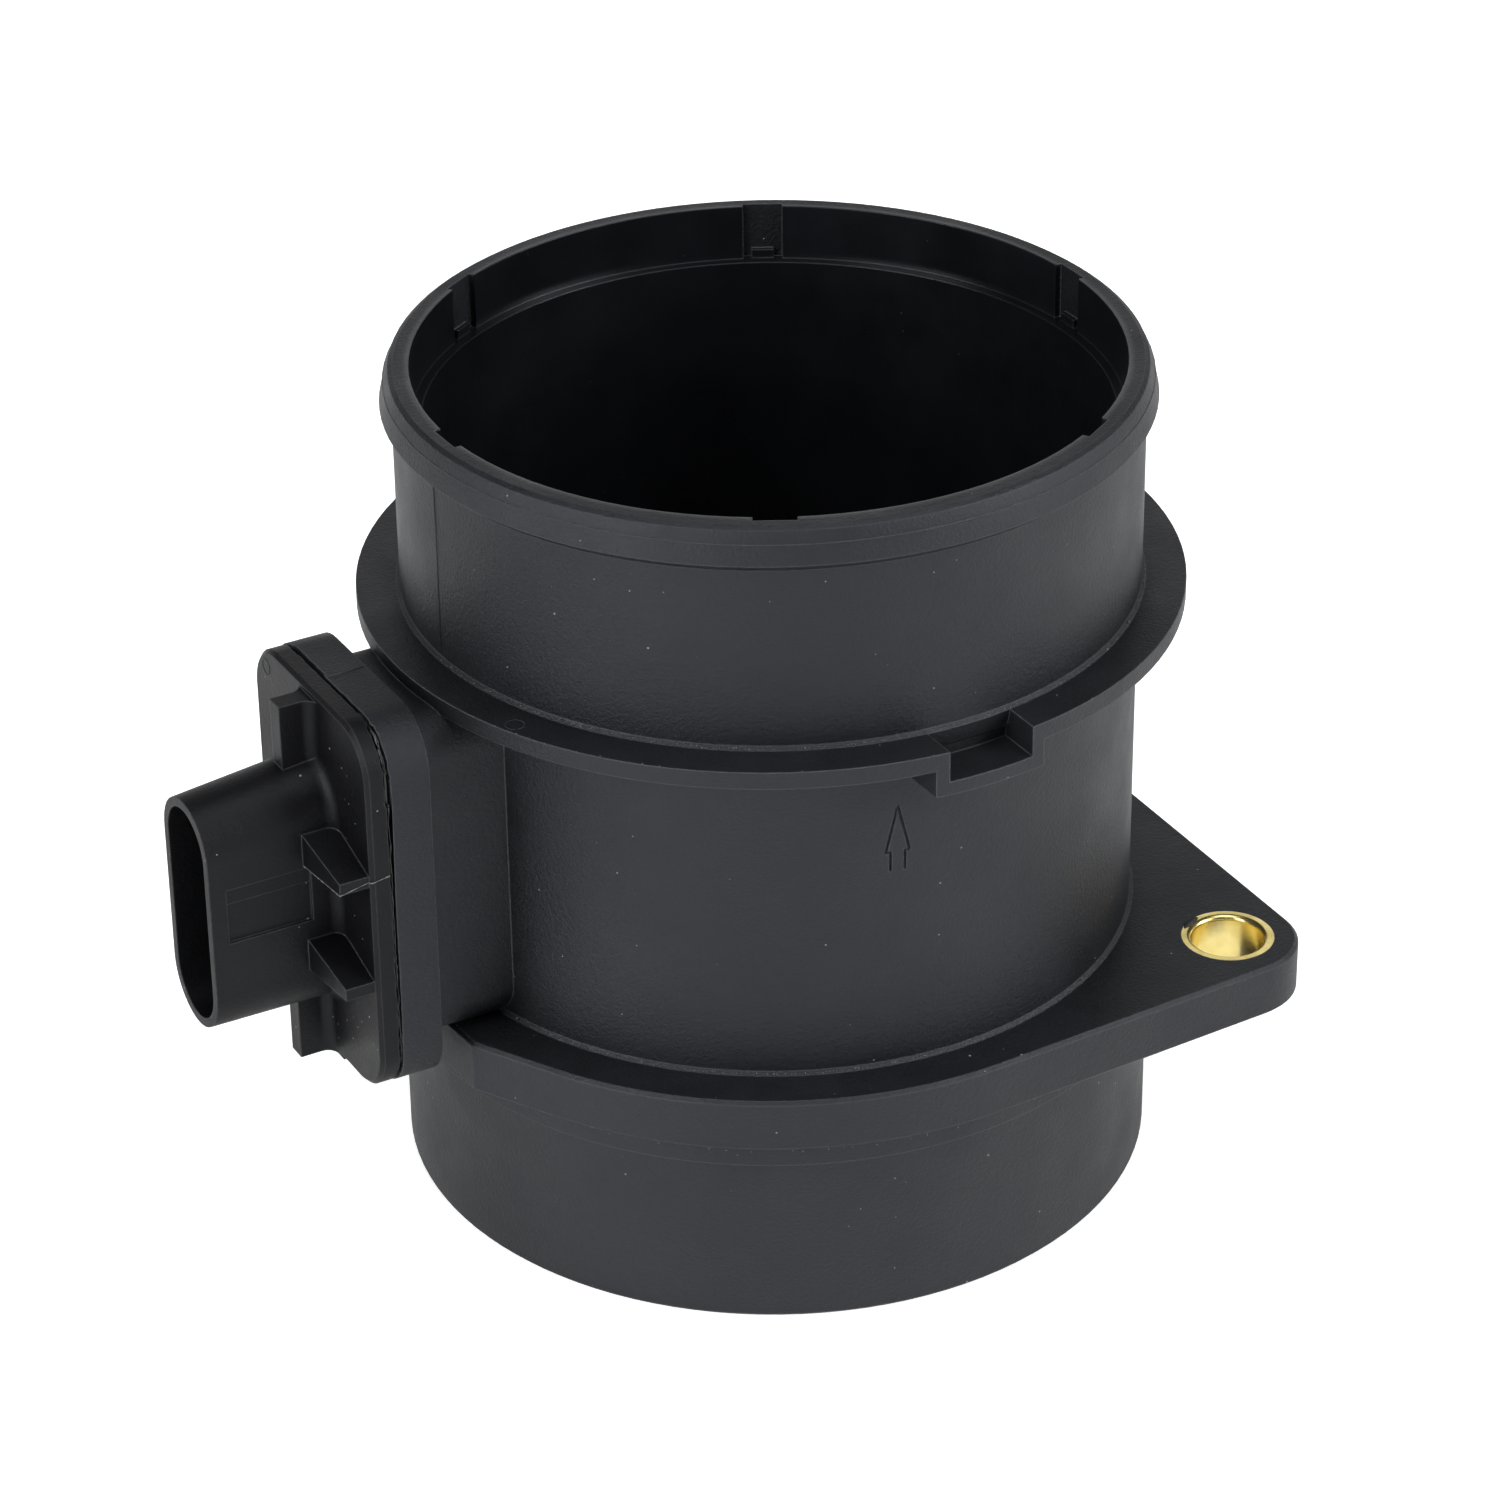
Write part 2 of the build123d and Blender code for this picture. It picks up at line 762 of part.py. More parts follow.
def make_chip_capacitors():
    """Small ceramic capacitors in a row beside the control circuit."""
    with BuildPart() as capacitors:
        with BuildSketch(Plane.XZ.offset(-board_top_y)):
            with Locations((-capacitor_reach, bay_mid_z)):
                with GridLocations(capacitor_spacing, capacitor_spacing, 1, capacitor_count):
                    Rectangle(capacitor_length, capacitor_width)
        extrude(amount=capacitor_height)
    capacitors.part.label = "chip_capacitors"
    return capacitors.part


def make_chip_holder():
    """Tongue from the carrier into the air channel, with its end's corners taken off."""
    with BuildPart() as holder:
        block(
            (holder_end_reach, holder_outer_reach),
            (holder_top_y, carrier_top_y),
            (arm_mid_z - holder_width / 2, arm_mid_z + holder_width / 2),
        )
        chamfer(holder.edges().filter_by(Axis.Y).group_by(Axis.X)[-1], holder_thickness / 2)
    holder.part.label = "chip_holder"
    return holder.part


def make_hot_film_chip():
    """Heated film chip on the holder, in the middle of the channel."""
    with BuildPart() as chip:
        with BuildSketch(Plane.XZ.offset(-holder_top_y)):
            with Locations((-channel_in_reach, arm_mid_z)):
                Rectangle(film_chip_length, film_chip_width)
        extrude(amount=film_chip_thickness)
    chip.part.label = "hot_film_chip"
    return chip.part


def make_wire(near, far, level):
    """One bonded wire between two points in X and Y, bridged up away from the board."""
    half = bond_wire_size / 2
    slope_length = (far[0] - near[0]) / 4
    crest_y = min(near[1], far[1]) - bond_wire_rise
    with BuildPart() as wire:
        with BuildSketch(Plane.XY.offset(level - half)):
            with BuildLine():
                Polyline(
                    (near[0] - half, near[1]),
                    (near[0] + half, near[1]),
                    (near[0] + slope_length + half, crest_y),
                    (far[0] - slope_length - half, crest_y),
                    (far[0] - half, far[1]),
                    (far[0] + half, far[1]),
                    (far[0] - slope_length + half, crest_y - bond_wire_size),
                    (near[0] + slope_length - half, crest_y - bond_wire_size),
                    close=True,
                )
            make_face()
        extrude(amount=bond_wire_size)
    return wire.part


def make_bond_wires():
    """Wires from the board to each terminal, and from the board to the chip holder."""
    terminal_end = (-terminal_inner_reach - bond_wire_inset, terminal_top_y)
    board_outer_end = (-board_outer_reach + bond_wire_inset, board_top_y)
    board_inner_end = (-board_inner_reach - bond_wire_inset, board_top_y)
    holder_end = (-holder_outer_reach + bond_wire_inset, holder_top_y)
    holder_wires = terminal_count - 1
    holder_step = (holder_width - 2 * bond_wire_inset) / (holder_wires - 1)
    first_level = arm_mid_z - holder_width / 2 + bond_wire_inset
    with BuildPart() as wires:
        for level in terminal_levels():
            add(make_wire(terminal_end, board_outer_end, level))
        for i in range(holder_wires):
            add(make_wire(board_inner_end, holder_end, first_level + i * holder_step))
    wires.part.label = "bond_wires"
    return wires.part


def make_electronics_cover():
    """Cover over the bay, with a rib that closes the slot above the chip holder."""
    start = cover_split_reach + cover_end_gap
    end = bay_outer_reach + cover_thickness - cover_end_gap
    rib_half_width = holder_width / 2 - cover_plug_clearance
    with BuildPart() as cover:
        with BuildSketch(Plane.YZ.offset(-end)):
            cover_outline()
        extrude(amount=end - start)
        block(
            (start, bay_inner_reach - cover_plug_clearance),
            (cover_seat_y, holder_top_y - cover_plug_clearance),
            (arm_mid_z - rib_half_width, arm_mid_z + rib_half_width),
        )
        block(
            (bay_inner_reach + cover_plug_clearance, bay_outer_reach - cover_plug_clearance),
            (cover_seat_y, cover_seat_y + cover_plug_depth),
            (bay_bottom_z + cover_plug_clearance, bay_top_z - cover_plug_clearance),
        )
        block(
            (sensor_notch_reach, sensor_notch_reach + sensor_notch_length),
            (-arm_half_thickness - past, cover_seat_y + past),
            (arm_bottom_z - past, sensor_notch_top_z),
            Mode.SUBTRACT,
        )
    cover.part.label = "electronics_cover"
    return cover.part


def make_channel_cover():
    """Cover over the air channel, with a raised land that fits into the channel's top."""
    end = cover_split_reach - cover_end_gap
    with BuildPart() as cover:
        with BuildSketch(Plane.XZ.offset(-cover_seat_y)):
            with BuildLine():
                channel_path()
            trace(line_width=channel_width - 2 * cover_plug_clearance)
        extrude(amount=-cover_plug_depth)
        block(
            (arm_tip_reach, end),
            (cover_seat_y, cover_seat_y + cover_plug_depth),
            (arm_bottom_z - past, arm_bottom_z + cover_plug_clearance),
            Mode.SUBTRACT,
        )
        with BuildSketch(Plane.YZ.offset(-end)):
            cover_outline()
        extrude(amount=end - arm_tip_reach)
    cover.part.label = "channel_cover"
    return cover.part


def make_temperature_bead():
    """Glass bead of the thermistor, round the ends of its leads."""
    middle_x = sum(point[0] for point in lead_points()) / 2
    with BuildPart() as bead:
        with BuildSketch(Plane.XY.offset(bead_centre_z - bead_diameter / 2)):
            with Locations((middle_x, lead_points()[0][1])):
                Circle(bead_diameter / 2)
        extrude(amount=bead_diameter)
        chamfer(bead.edges().filter_by(GeomType.CIRCLE), bead_end_chamfer)
        with BuildSketch(Plane.XY.offset(bead_centre_z)):
            with Locations(*lead_points()):
                Rectangle(lead_size, lead_size)
        extrude(amount=bead_diameter, mode=Mode.SUBTRACT)
    bead.part.label = "temperature_bead"
    return bead.part


def make_temperature_leads():
    """Two leads from the thermistor's bead up onto the board."""
    with BuildPart() as leads:
        with BuildSketch(Plane.XY.offset(bead_centre_z)):
            with Locations(*lead_points()):
                Rectangle(lead_size, lead_size)
        extrude(amount=lead_end_z - bead_centre_z)
    leads.part.label = "temperature_leads"
    return leads.part


pieces = [
    make_housing(make_neck(), make_flange(), make_ring()),
    make_bushings(),
    make_straightener(),
    make_sensor_head(make_shroud(), make_gussets()),
    make_seal_bead(),
    make_base_plate(),
    make_circuit_board(),
    make_control_chip(),
    make_chip_capacitors(),
    make_chip_holder(),
    make_hot_film_chip(),
    make_bond_wires(),
    make_electronics_cover(),
    make_channel_cover(),
    make_temperature_bead(),
    make_temperature_leads(),
]
for index, terminal_level in enumerate(terminal_levels()):
    pieces.append(make_terminal(index + 1, terminal_level))

for piece in pieces:
    export_step(piece, f"parts/{piece.label}.step")
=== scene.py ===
import math
import random

import bmesh
import bpy
from mathutils import Matrix, Vector


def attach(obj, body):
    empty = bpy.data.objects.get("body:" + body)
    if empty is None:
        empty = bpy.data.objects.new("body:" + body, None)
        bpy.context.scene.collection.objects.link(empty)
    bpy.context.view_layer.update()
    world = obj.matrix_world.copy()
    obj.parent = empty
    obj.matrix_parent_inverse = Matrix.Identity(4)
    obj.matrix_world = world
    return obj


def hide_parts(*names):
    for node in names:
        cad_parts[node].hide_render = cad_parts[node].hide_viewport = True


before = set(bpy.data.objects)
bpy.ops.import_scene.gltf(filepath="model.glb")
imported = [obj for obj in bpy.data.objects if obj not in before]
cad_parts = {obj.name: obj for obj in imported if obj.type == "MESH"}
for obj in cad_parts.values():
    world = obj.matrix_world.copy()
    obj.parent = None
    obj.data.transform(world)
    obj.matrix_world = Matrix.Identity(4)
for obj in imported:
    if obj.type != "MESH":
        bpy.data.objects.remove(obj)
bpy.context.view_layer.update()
MM = 0.001

# Sizes of the part that the looks follow, in metres
HOSE_RADIUS = 35.85 * MM
BODY_RADIUS = 35.5 * MM
BORE_RADIUS = 33.0 * MM
INLET_RADIUS = 37.5 * MM
BEAD_PARTING_RADIUS = 36.52 * MM
BEAD_PARTING_Z = 83.4 * MM
RING_RADIUS = 40.1 * MM
RING_TOP_Z = 62.2 * MM
FLANGE_RADIUS = 40.4 * MM
FLANGE_BOTTOM_Z = 21.2 * MM
FLANGE_TOP_Z = 26.7 * MM
EAR_X = 46.0 * MM * math.cos(math.radians(-44.0))
EAR_Y = 46.0 * MM * math.sin(math.radians(-44.0))
BUSHING_RADIUS = 4.55 * MM
BUSHING_BORE_RADIUS = 3.55 * MM
BUSHING_LIP = 0.5 * MM

# The collar and the head's plate, measured along -X and about the tube's axis
PLATE_FACE_REACH = 49.4 * MM
PLATE_BACK_REACH = 47.4 * MM
JOINT_REACH = 47.3 * MM
COLLAR_FACE_REACH = 47.2 * MM
COLLAR_HALF_WIDTH = 12.3 * MM
COLLAR_BOTTOM_Z = 23.2 * MM
COLLAR_TOP_Z = 62.8 * MM
COLLAR_CORNER = 5.2 * MM
PLATE_INSET = 0.1 * MM
# Spacing of the points and cuts that make the joint's edge ragged
JOINT_STEP = 0.5 * MM
SOCKET_FLOOR_REACH = 50.5 * MM
SOCKET_RADIUS = 3.65 * MM
SOCKET_LOW_Z = 35.05 * MM
SOCKET_HIGH_Z = 49.25 * MM
SOCKET_WIDENING = 0.4 * MM

# The engraved flow arrow
ARROW_ANGLE = math.radians(-100.4)
ARROW_BOTTOM_Z = 48.0 * MM
ARROW_BARBS_Z = 49.9 * MM
ARROW_TIP_Z = 54.8 * MM
ARROW_SHAFT = 0.71 * MM
ARROW_HEAD = 1.18 * MM
ARROW_LINE = 0.16 * MM
ARROW_DEPTH = 0.36 * MM
ARROW_GRID = 0.08 * MM

# How near a point lies to the socket's wall or the joint's edge that it belongs to
WALL_SLACK = 0.03 * MM
# How near a point lies to the turned wall that it belongs to
WALL_FIT = 0.1 * MM
# Edges that turn by more than this stay sharp
CREASE = math.radians(30.0)

# How much each pattern breaks up, and the middle of its range, where most of it lies
BLOTCHES = {"Detail": 3.0, "Roughness": 0.6}
PATTERN_LOW, PATTERN_HIGH = 0.3, 0.7

# How strongly the floor glows: near the object, far from it, and in what reflects it
FLOOR_GLOW_NEAR = 0.66
FLOOR_GLOW_FAR = 1.0
FLOOR_GLOW_REFLECTED = 0.28

# The photograph's camera
CAMERA_PLACE = Vector((-211.75, -378.19, 291.05)) * MM
CAMERA_FORWARD = Vector((0.41091, 0.76314, -0.49878)).normalized()
CAMERA_ROLL = math.radians(-1.074)
CAMERA_LENS = 121.5
CAMERA_SHIFT = 0.0333


# Colours, nodes and finishing


def linear(hex_colour):
    """An sRGB hex colour as linear RGBA."""
    channels = [int(hex_colour[i : i + 2], 16) / 255 for i in (0, 2, 4)]
    return [c / 12.92 if c <= 0.04045 else ((c + 0.055) / 1.055) ** 2.4 for c in channels] + [1.0]


def add_node(tree, kind, inputs=(), **settings):
    """One node: settings are its properties, inputs the values or the links of its sockets.

    Inputs are named or numbered, or in a row from the first socket on.
    """
    made = tree.nodes.new(kind)
    for name, value in settings.items():
        setattr(made, name, value)
    wanted = inputs if isinstance(inputs, dict) else dict(enumerate(inputs))
    for socket, value in wanted.items():
        if isinstance(value, bpy.types.NodeSocket):
            tree.links.new(value, made.inputs[socket])
        else:
            made.inputs[socket].default_value = value
    return made


def start_material(name):
    """A new material, its node tree and its Object coordinates, which are metres."""
    material = bpy.data.materials.new(name)
    material.use_nodes = True
    tree = material.node_tree
    tree.nodes.clear()
    return material, tree, add_node(tree, "ShaderNodeTexCoord").outputs["Object"]


def end_material(tree, inputs):
    """The surface shader and the output."""
    shader = add_node(tree, "ShaderNodeBsdfPrincipled", inputs)
    add_node(tree, "ShaderNodeOutputMaterial", {"Surface": shader.outputs["BSDF"]})


def end_mottled(tree, pattern, tones, roughness, inputs):
    """Ends a material whose colour and roughness follow a pattern between two values each."""
    first, second = (linear(tone) for tone in tones)
    # The mix node's share and colours are its sockets 0, 6 and 7
    colour = add_node(
        tree, "ShaderNodeMix", {0: pattern, 6: first, 7: second}, data_type="RGBA"
    ).outputs[2]
    rough = add_node(
        tree, "ShaderNodeMapRange", (pattern, PATTERN_LOW, PATTERN_HIGH, *roughness)
    ).outputs[0]
    end_material(tree, {"Base Color": colour, "Roughness": rough, **inputs})


def dress_node(node, material):
    """Gives a CAD node that keeps its own mesh a better material."""
    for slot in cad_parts[node].material_slots:
        slot.material = material


def finish_piece(piece, slot, material, *nodes):
    """A finished piece: its material, the body it is on and what it stands for; slot is not used.
    """
    piece.data.materials.clear()
    piece.data.materials.append(material)
    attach(piece, "root")
    if nodes:
        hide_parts(*nodes)
    return piece


# Materials


def moulded_plastic(name, tones, roughness, specular, painted_reflection_tint, grain_depth, bore_radius=0.0):
    """Moulded plastic with flow marks, a fine grain, paler worn edges and dust specks.

    Its tones are a deep one, a pale one and that of worn edges. Nearer the tube's axis than the
    bore radius, a polished core left it smooth, and hands and dust don't reach it.
    """
    deep, pale, rubbed_pale = (linear(tone) for tone in tones)
    material, tree, place = start_material(name)
    # Flow marks about 9 mm long change the shade and the gloss a little
    flow = add_node(
        tree, "ShaderNodeTexNoise", {"Vector": place, "Scale": 1 / (9.0 * MM), **BLOTCHES}
    ).outputs["Fac"]
    # Grain of the filler under the skin, 0.4 mm so that it shows
    grain = add_node(
        tree,
        "ShaderNodeTexNoise",
        {"Vector": place, "Scale": 1 / (0.4 * MM), "Detail": 3.0, "Roughness": 0.8},
    ).outputs["Fac"]
    # The polished surface ends over 0.6 mm, on the rim
    flat = add_node(
        tree, "ShaderNodeVectorMath", (place, (1.0, 1.0, 0.0)), operation="MULTIPLY"
    ).outputs["Vector"]
    from_axis = add_node(
        tree, "ShaderNodeVectorMath", (flat,), operation="LENGTH"
    ).outputs["Value"]
    low, high = bore_radius - 0.3 * MM, bore_radius + 0.3 * MM
    handled = add_node(tree, "ShaderNodeMapRange", (from_axis, low, high, 0.1, 1.0)).outputs[0]
    unpolished = add_node(tree, "ShaderNodeMapRange", (from_axis, low, high, 0.63, 1.0)).outputs[0]
    satin = add_node(
        tree, "ShaderNodeMapRange", (flow, PATTERN_LOW, PATTERN_HIGH, *roughness)
    ).outputs[0]
    # Edges are rubbed paler over the outer 0.2 mm, more in some grains than in others
    rounded = add_node(tree, "ShaderNodeBevel", {"Radius": 0.22 * MM}, samples=4).outputs["Normal"]
    facing = add_node(tree, "ShaderNodeNewGeometry").outputs["Normal"]
    turn = add_node(
        tree, "ShaderNodeVectorMath", (rounded, facing), operation="DOT_PRODUCT"
    ).outputs["Value"]
    edge = add_node(tree, "ShaderNodeMapRange", (turn, 0.985, 0.80, 0.0, 1.0)).outputs[0]
    rubbed = add_node(tree, "ShaderNodeMath", (edge, grain), operation="MULTIPLY").outputs[0]
    rubbed = add_node(tree, "ShaderNodeMath", (rubbed, handled), operation="MULTIPLY").outputs[0]
    # Dust specks up to 0.2 mm across in one in seven of the 1.1 mm cells
    cells = add_node(tree, "ShaderNodeTexVoronoi", {"Vector": place, "Scale": 1 / (1.1 * MM)})
    chance = add_node(tree, "ShaderNodeSeparateColor", (cells.outputs["Color"],)).outputs
    reach = add_node(
        tree, "ShaderNodeMapRange", (chance["Green"], 0.0, 1.0, 0.02, 0.10)
    ).outputs[0]
    near = add_node(
        tree, "ShaderNodeMath", (cells.outputs["Distance"], reach), operation="LESS_THAN"
    ).outputs[0]
    few = add_node(tree, "ShaderNodeMath", (chance["Red"], 0.15), operation="LESS_THAN").outputs[0]
    speck = add_node(tree, "ShaderNodeMath", (near, few), operation="MULTIPLY").outputs[0]
    speck = add_node(tree, "ShaderNodeMath", (speck, handled), operation="MULTIPLY").outputs[0]
    colour = deep
    for share, over in ((flow, pale), (rubbed, rubbed_pale), (speck, linear("8a8987"))):
        colour = add_node(
            tree, "ShaderNodeMix", {0: share, 6: colour, 7: over}, data_type="RGBA"
        ).outputs[2]
    gloss = add_node(tree, "ShaderNodeMath", (satin, unpolished), operation="MULTIPLY").outputs[0]
    bump = add_node(
        tree,
        "ShaderNodeBump",
        {"Height": grain, "Normal": rounded, "Strength": handled, "Distance": grain_depth},
    ).outputs["Normal"]
    end_material(
        tree,
        {
            "Base Color": colour,
            "Roughness": gloss,
            "Normal": bump,
            "Specular IOR Level": specular,
            # The faint blue on the reflections is a painted cast that stands for cool light
            "Specular Tint": linear(painted_reflection_tint),
        },
    )
    return material


def tube_plastic():
    """Glass-filled nylon, moulded: a satin near-black with a dry grain, and a smooth bore."""
    return moulded_plastic(
        "glass_filled_nylon",
        ("0a0b0d", "121317", "74757a"),
        (0.42, 0.56),
        specular=0.5,
        # A faint blue painted into the reflections, for cool light
        painted_reflection_tint="f1f6ff",
        grain_depth=0.12 * MM,
        bore_radius=34.4 * MM,
    )


def head_plastic():
    """Filled polyester, moulded in a polished tool: deeper black and a little smoother."""
    return moulded_plastic(
        "filled_polyester",
        ("060608", "0b0b0e", "66676c"),
        (0.38, 0.52),
        specular=0.23,
        # A faint blue painted into the reflections, for cool light
        painted_reflection_tint="f8fbff",
        grain_depth=0.05 * MM,
    )


def plastic_crumbs():
    """Torn nylon at the mould's edges, paler than the skin, and dull; also a painted highlight in
    coves.
    """
    material, tree, place = start_material("torn_nylon")
    tear = add_node(
        tree,
        "ShaderNodeTexNoise",
        {"Vector": place, "Scale": 1 / (0.3 * MM), "Detail": 2.0, "Roughness": 0.6},
    ).outputs["Fac"]
    end_mottled(tree, tear, ("3a3b3e", "8c8d91"), (0.5, 0.75), {})
    return material


def turned_brass():
    """Free-cutting brass, turned: fine rings from the tool, 0.12 mm apart, and a faint tarnish."""
    material, tree, place = start_material("turned_brass")
    tarnish = add_node(
        tree, "ShaderNodeTexNoise", {"Vector": place, "Scale": 1 / (2.5 * MM), **BLOTCHES}
    ).outputs["Fac"]
    height = add_node(tree, "ShaderNodeSeparateXYZ", (place,)).outputs["Z"]
    rings = add_node(
        tree, "ShaderNodeMath", (height, 2 * math.pi / (0.12 * MM)), operation="MULTIPLY"
    ).outputs[0]
    wave = add_node(tree, "ShaderNodeMath", (rings,), operation="SINE").outputs[0]
    bump = add_node(
        tree, "ShaderNodeBump", {"Height": wave, "Strength": 0.15, "Distance": 0.01 * MM}
    ).outputs["Normal"]
    end_mottled(
        tree, tarnish, ("f3e6a4", "dcc069"), (0.16, 0.30), {"Metallic": 1.0, "Normal": bump}
    )
    return material


def squeezed_adhesive():
    """Silicone adhesive, cured in the air: black, glossy and lumpy over about 0.8 mm."""
    material, tree, place = start_material("cured_silicone")
    lumps = add_node(
        tree, "ShaderNodeTexNoise", {"Vector": place, "Scale": 1 / (0.8 * MM), **BLOTCHES}
    ).outputs["Fac"]
    bump = add_node(
        tree, "ShaderNodeBump", {"Height": lumps, "Strength": 0.6, "Distance": 0.12 * MM}
    ).outputs["Normal"]
    end_mottled(tree, lumps, ("08080a", "121214"), (0.16, 0.3), {"Normal": bump})
    return material


def plain_metal(name, tones, roughness, streak_length):
    """Metal with short streaks from rolling or plating, a twelfth as wide as they are long."""
    material, tree, place = start_material(name)
    squeezed = add_node(
        tree, "ShaderNodeMapping", {"Vector": place, "Scale": (1.0, 12.0, 12.0)}
    ).outputs["Vector"]
    streaks = add_node(
        tree, "ShaderNodeTexNoise", {"Vector": squeezed, "Scale": 1 / streak_length, **BLOTCHES}
    ).outputs["Fac"]
    bump = add_node(
        tree, "ShaderNodeBump", {"Height": streaks, "Strength": 0.2, "Distance": 0.01 * MM}
    ).outputs["Normal"]
    end_mottled(tree, streaks, tones, roughness, {"Metallic": 1.0, "Normal": bump})
    return material


def speckled_solid(name, tones, roughness, speckle_size):
    """A solid that doesn't shine like metal, with a mottle of this size."""
    material, tree, place = start_material(name)
    mottle = add_node(
        tree, "ShaderNodeTexNoise", {"Vector": place, "Scale": 1 / speckle_size, **BLOTCHES}
    ).outputs["Fac"]
    bump = add_node(
        tree, "ShaderNodeBump", {"Height": mottle, "Strength": 0.2, "Distance": 0.02 * MM}
    ).outputs["Normal"]
    end_mottled(tree, mottle, tones, roughness, {"Normal": bump})
    return material


# Meshes


def smooth_copy(node, name):
    """A node's mesh with its loose triangles joined, smooth except at its real edges."""
    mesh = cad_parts[node].data.copy()
    mesh.name = name
    joined = bmesh.new()
    joined.from_mesh(mesh)
    bmesh.ops.remove_doubles(joined, verts=joined.verts, dist=0.5e-6)
    joined.to_mesh(mesh)
    joined.free()
    if "custom_normal" in mesh.attributes:
        mesh.attributes.remove(mesh.attributes["custom_normal"])
    mesh.shade_smooth()
    mesh.set_sharp_from_angle(angle=CREASE)
    piece = bpy.data.objects.new(name, mesh)
    bpy.context.collection.objects.link(piece)
    return piece


def apply_modifiers(piece):
    """Turns the piece's modifiers into its own mesh."""
    evaluated = piece.evaluated_get(bpy.context.evaluated_depsgraph_get())
    made = bpy.data.meshes.new_from_object(evaluated)
    piece.modifiers.clear()
    piece.data = made
    return piece


def weight_normals(piece):
    """Large flat faces keep an even shade up to their edges."""
    weighted = piece.modifiers.new("weighted", "WEIGHTED_NORMAL")
    weighted.keep_sharp = True
    return apply_modifiers(piece)


def round_walls(piece, radii):
    """Even shading on walls turned about the tube's axis, whatever their triangles are like."""
    mesh = piece.data
    normals = [Vector(corner.vector) for corner in mesh.corner_normals]
    for face in mesh.polygons:
        # Only faces that look straight at the axis or away from it, on a wall of these radii
        aim = Vector((face.center.x, face.center.y, 0)).normalized()
        if abs(face.normal.dot(aim)) < 0.98:
            continue
        places = [mesh.vertices[mesh.loops[i].vertex_index].co for i in face.loop_indices]
        if not any(all(abs(place.xy.length - r) < WALL_FIT for place in places) for r in radii):
            continue
        for i, place in zip(face.loop_indices, places):
            outward = Vector((place.x, place.y, 0)).normalized()
            normals[i] = outward if outward.dot(face.normal) > 0 else -outward
    mesh.normals_split_custom_set(normals)


def tube_point(radius, angle_degrees, z):
    """A point on a cylinder about the tube's axis."""
    angle = math.radians(angle_degrees)
    return Vector((radius * math.cos(angle), radius * math.sin(angle), z))


def sweep(name, points, half_width, closed=False, sides=6):
    """A thin closed bead along some points, its half width a number or one for each point."""
    # No bead on this object runs along this direction
    askew = Vector((0.3, 0.2, 1.0))
    count = len(points)
    widths = half_width if isinstance(half_width, list) else [half_width] * count
    built = bmesh.new()
    rings = []
    for i, point in enumerate(points):
        before = points[i - 1] if i or closed else point
        after = points[(i + 1) % count] if i < count - 1 or closed else point
        along = (after - before).normalized()
        across = along.cross(askew).normalized()
        upward = across.cross(along).normalized()
        ring = []
        for k in range(sides):
            angle = 2 * math.pi * k / sides
            offset = across * math.cos(angle) + upward * math.sin(angle)
            ring.append(built.verts.new(point + offset * widths[i]))
        rings.append(ring)
    last = count if closed else count - 1
    for i in range(last):
        here, there = rings[i], rings[(i + 1) % count]
        for k in range(sides):
            n = (k + 1) % sides
            built.faces.new((here[k], here[n], there[n], there[k]))
    if not closed:
        built.faces.new(rings[0])
        built.faces.new(list(reversed(rings[-1])))
    bmesh.ops.recalc_face_normals(built, faces=built.faces)
    mesh = bpy.data.meshes.new(name)
    built.to_mesh(mesh)
    built.free()
    mesh.shade_smooth()
    piece = bpy.data.objects.new(name, mesh)
    bpy.context.collection.objects.link(piece)
    return piece


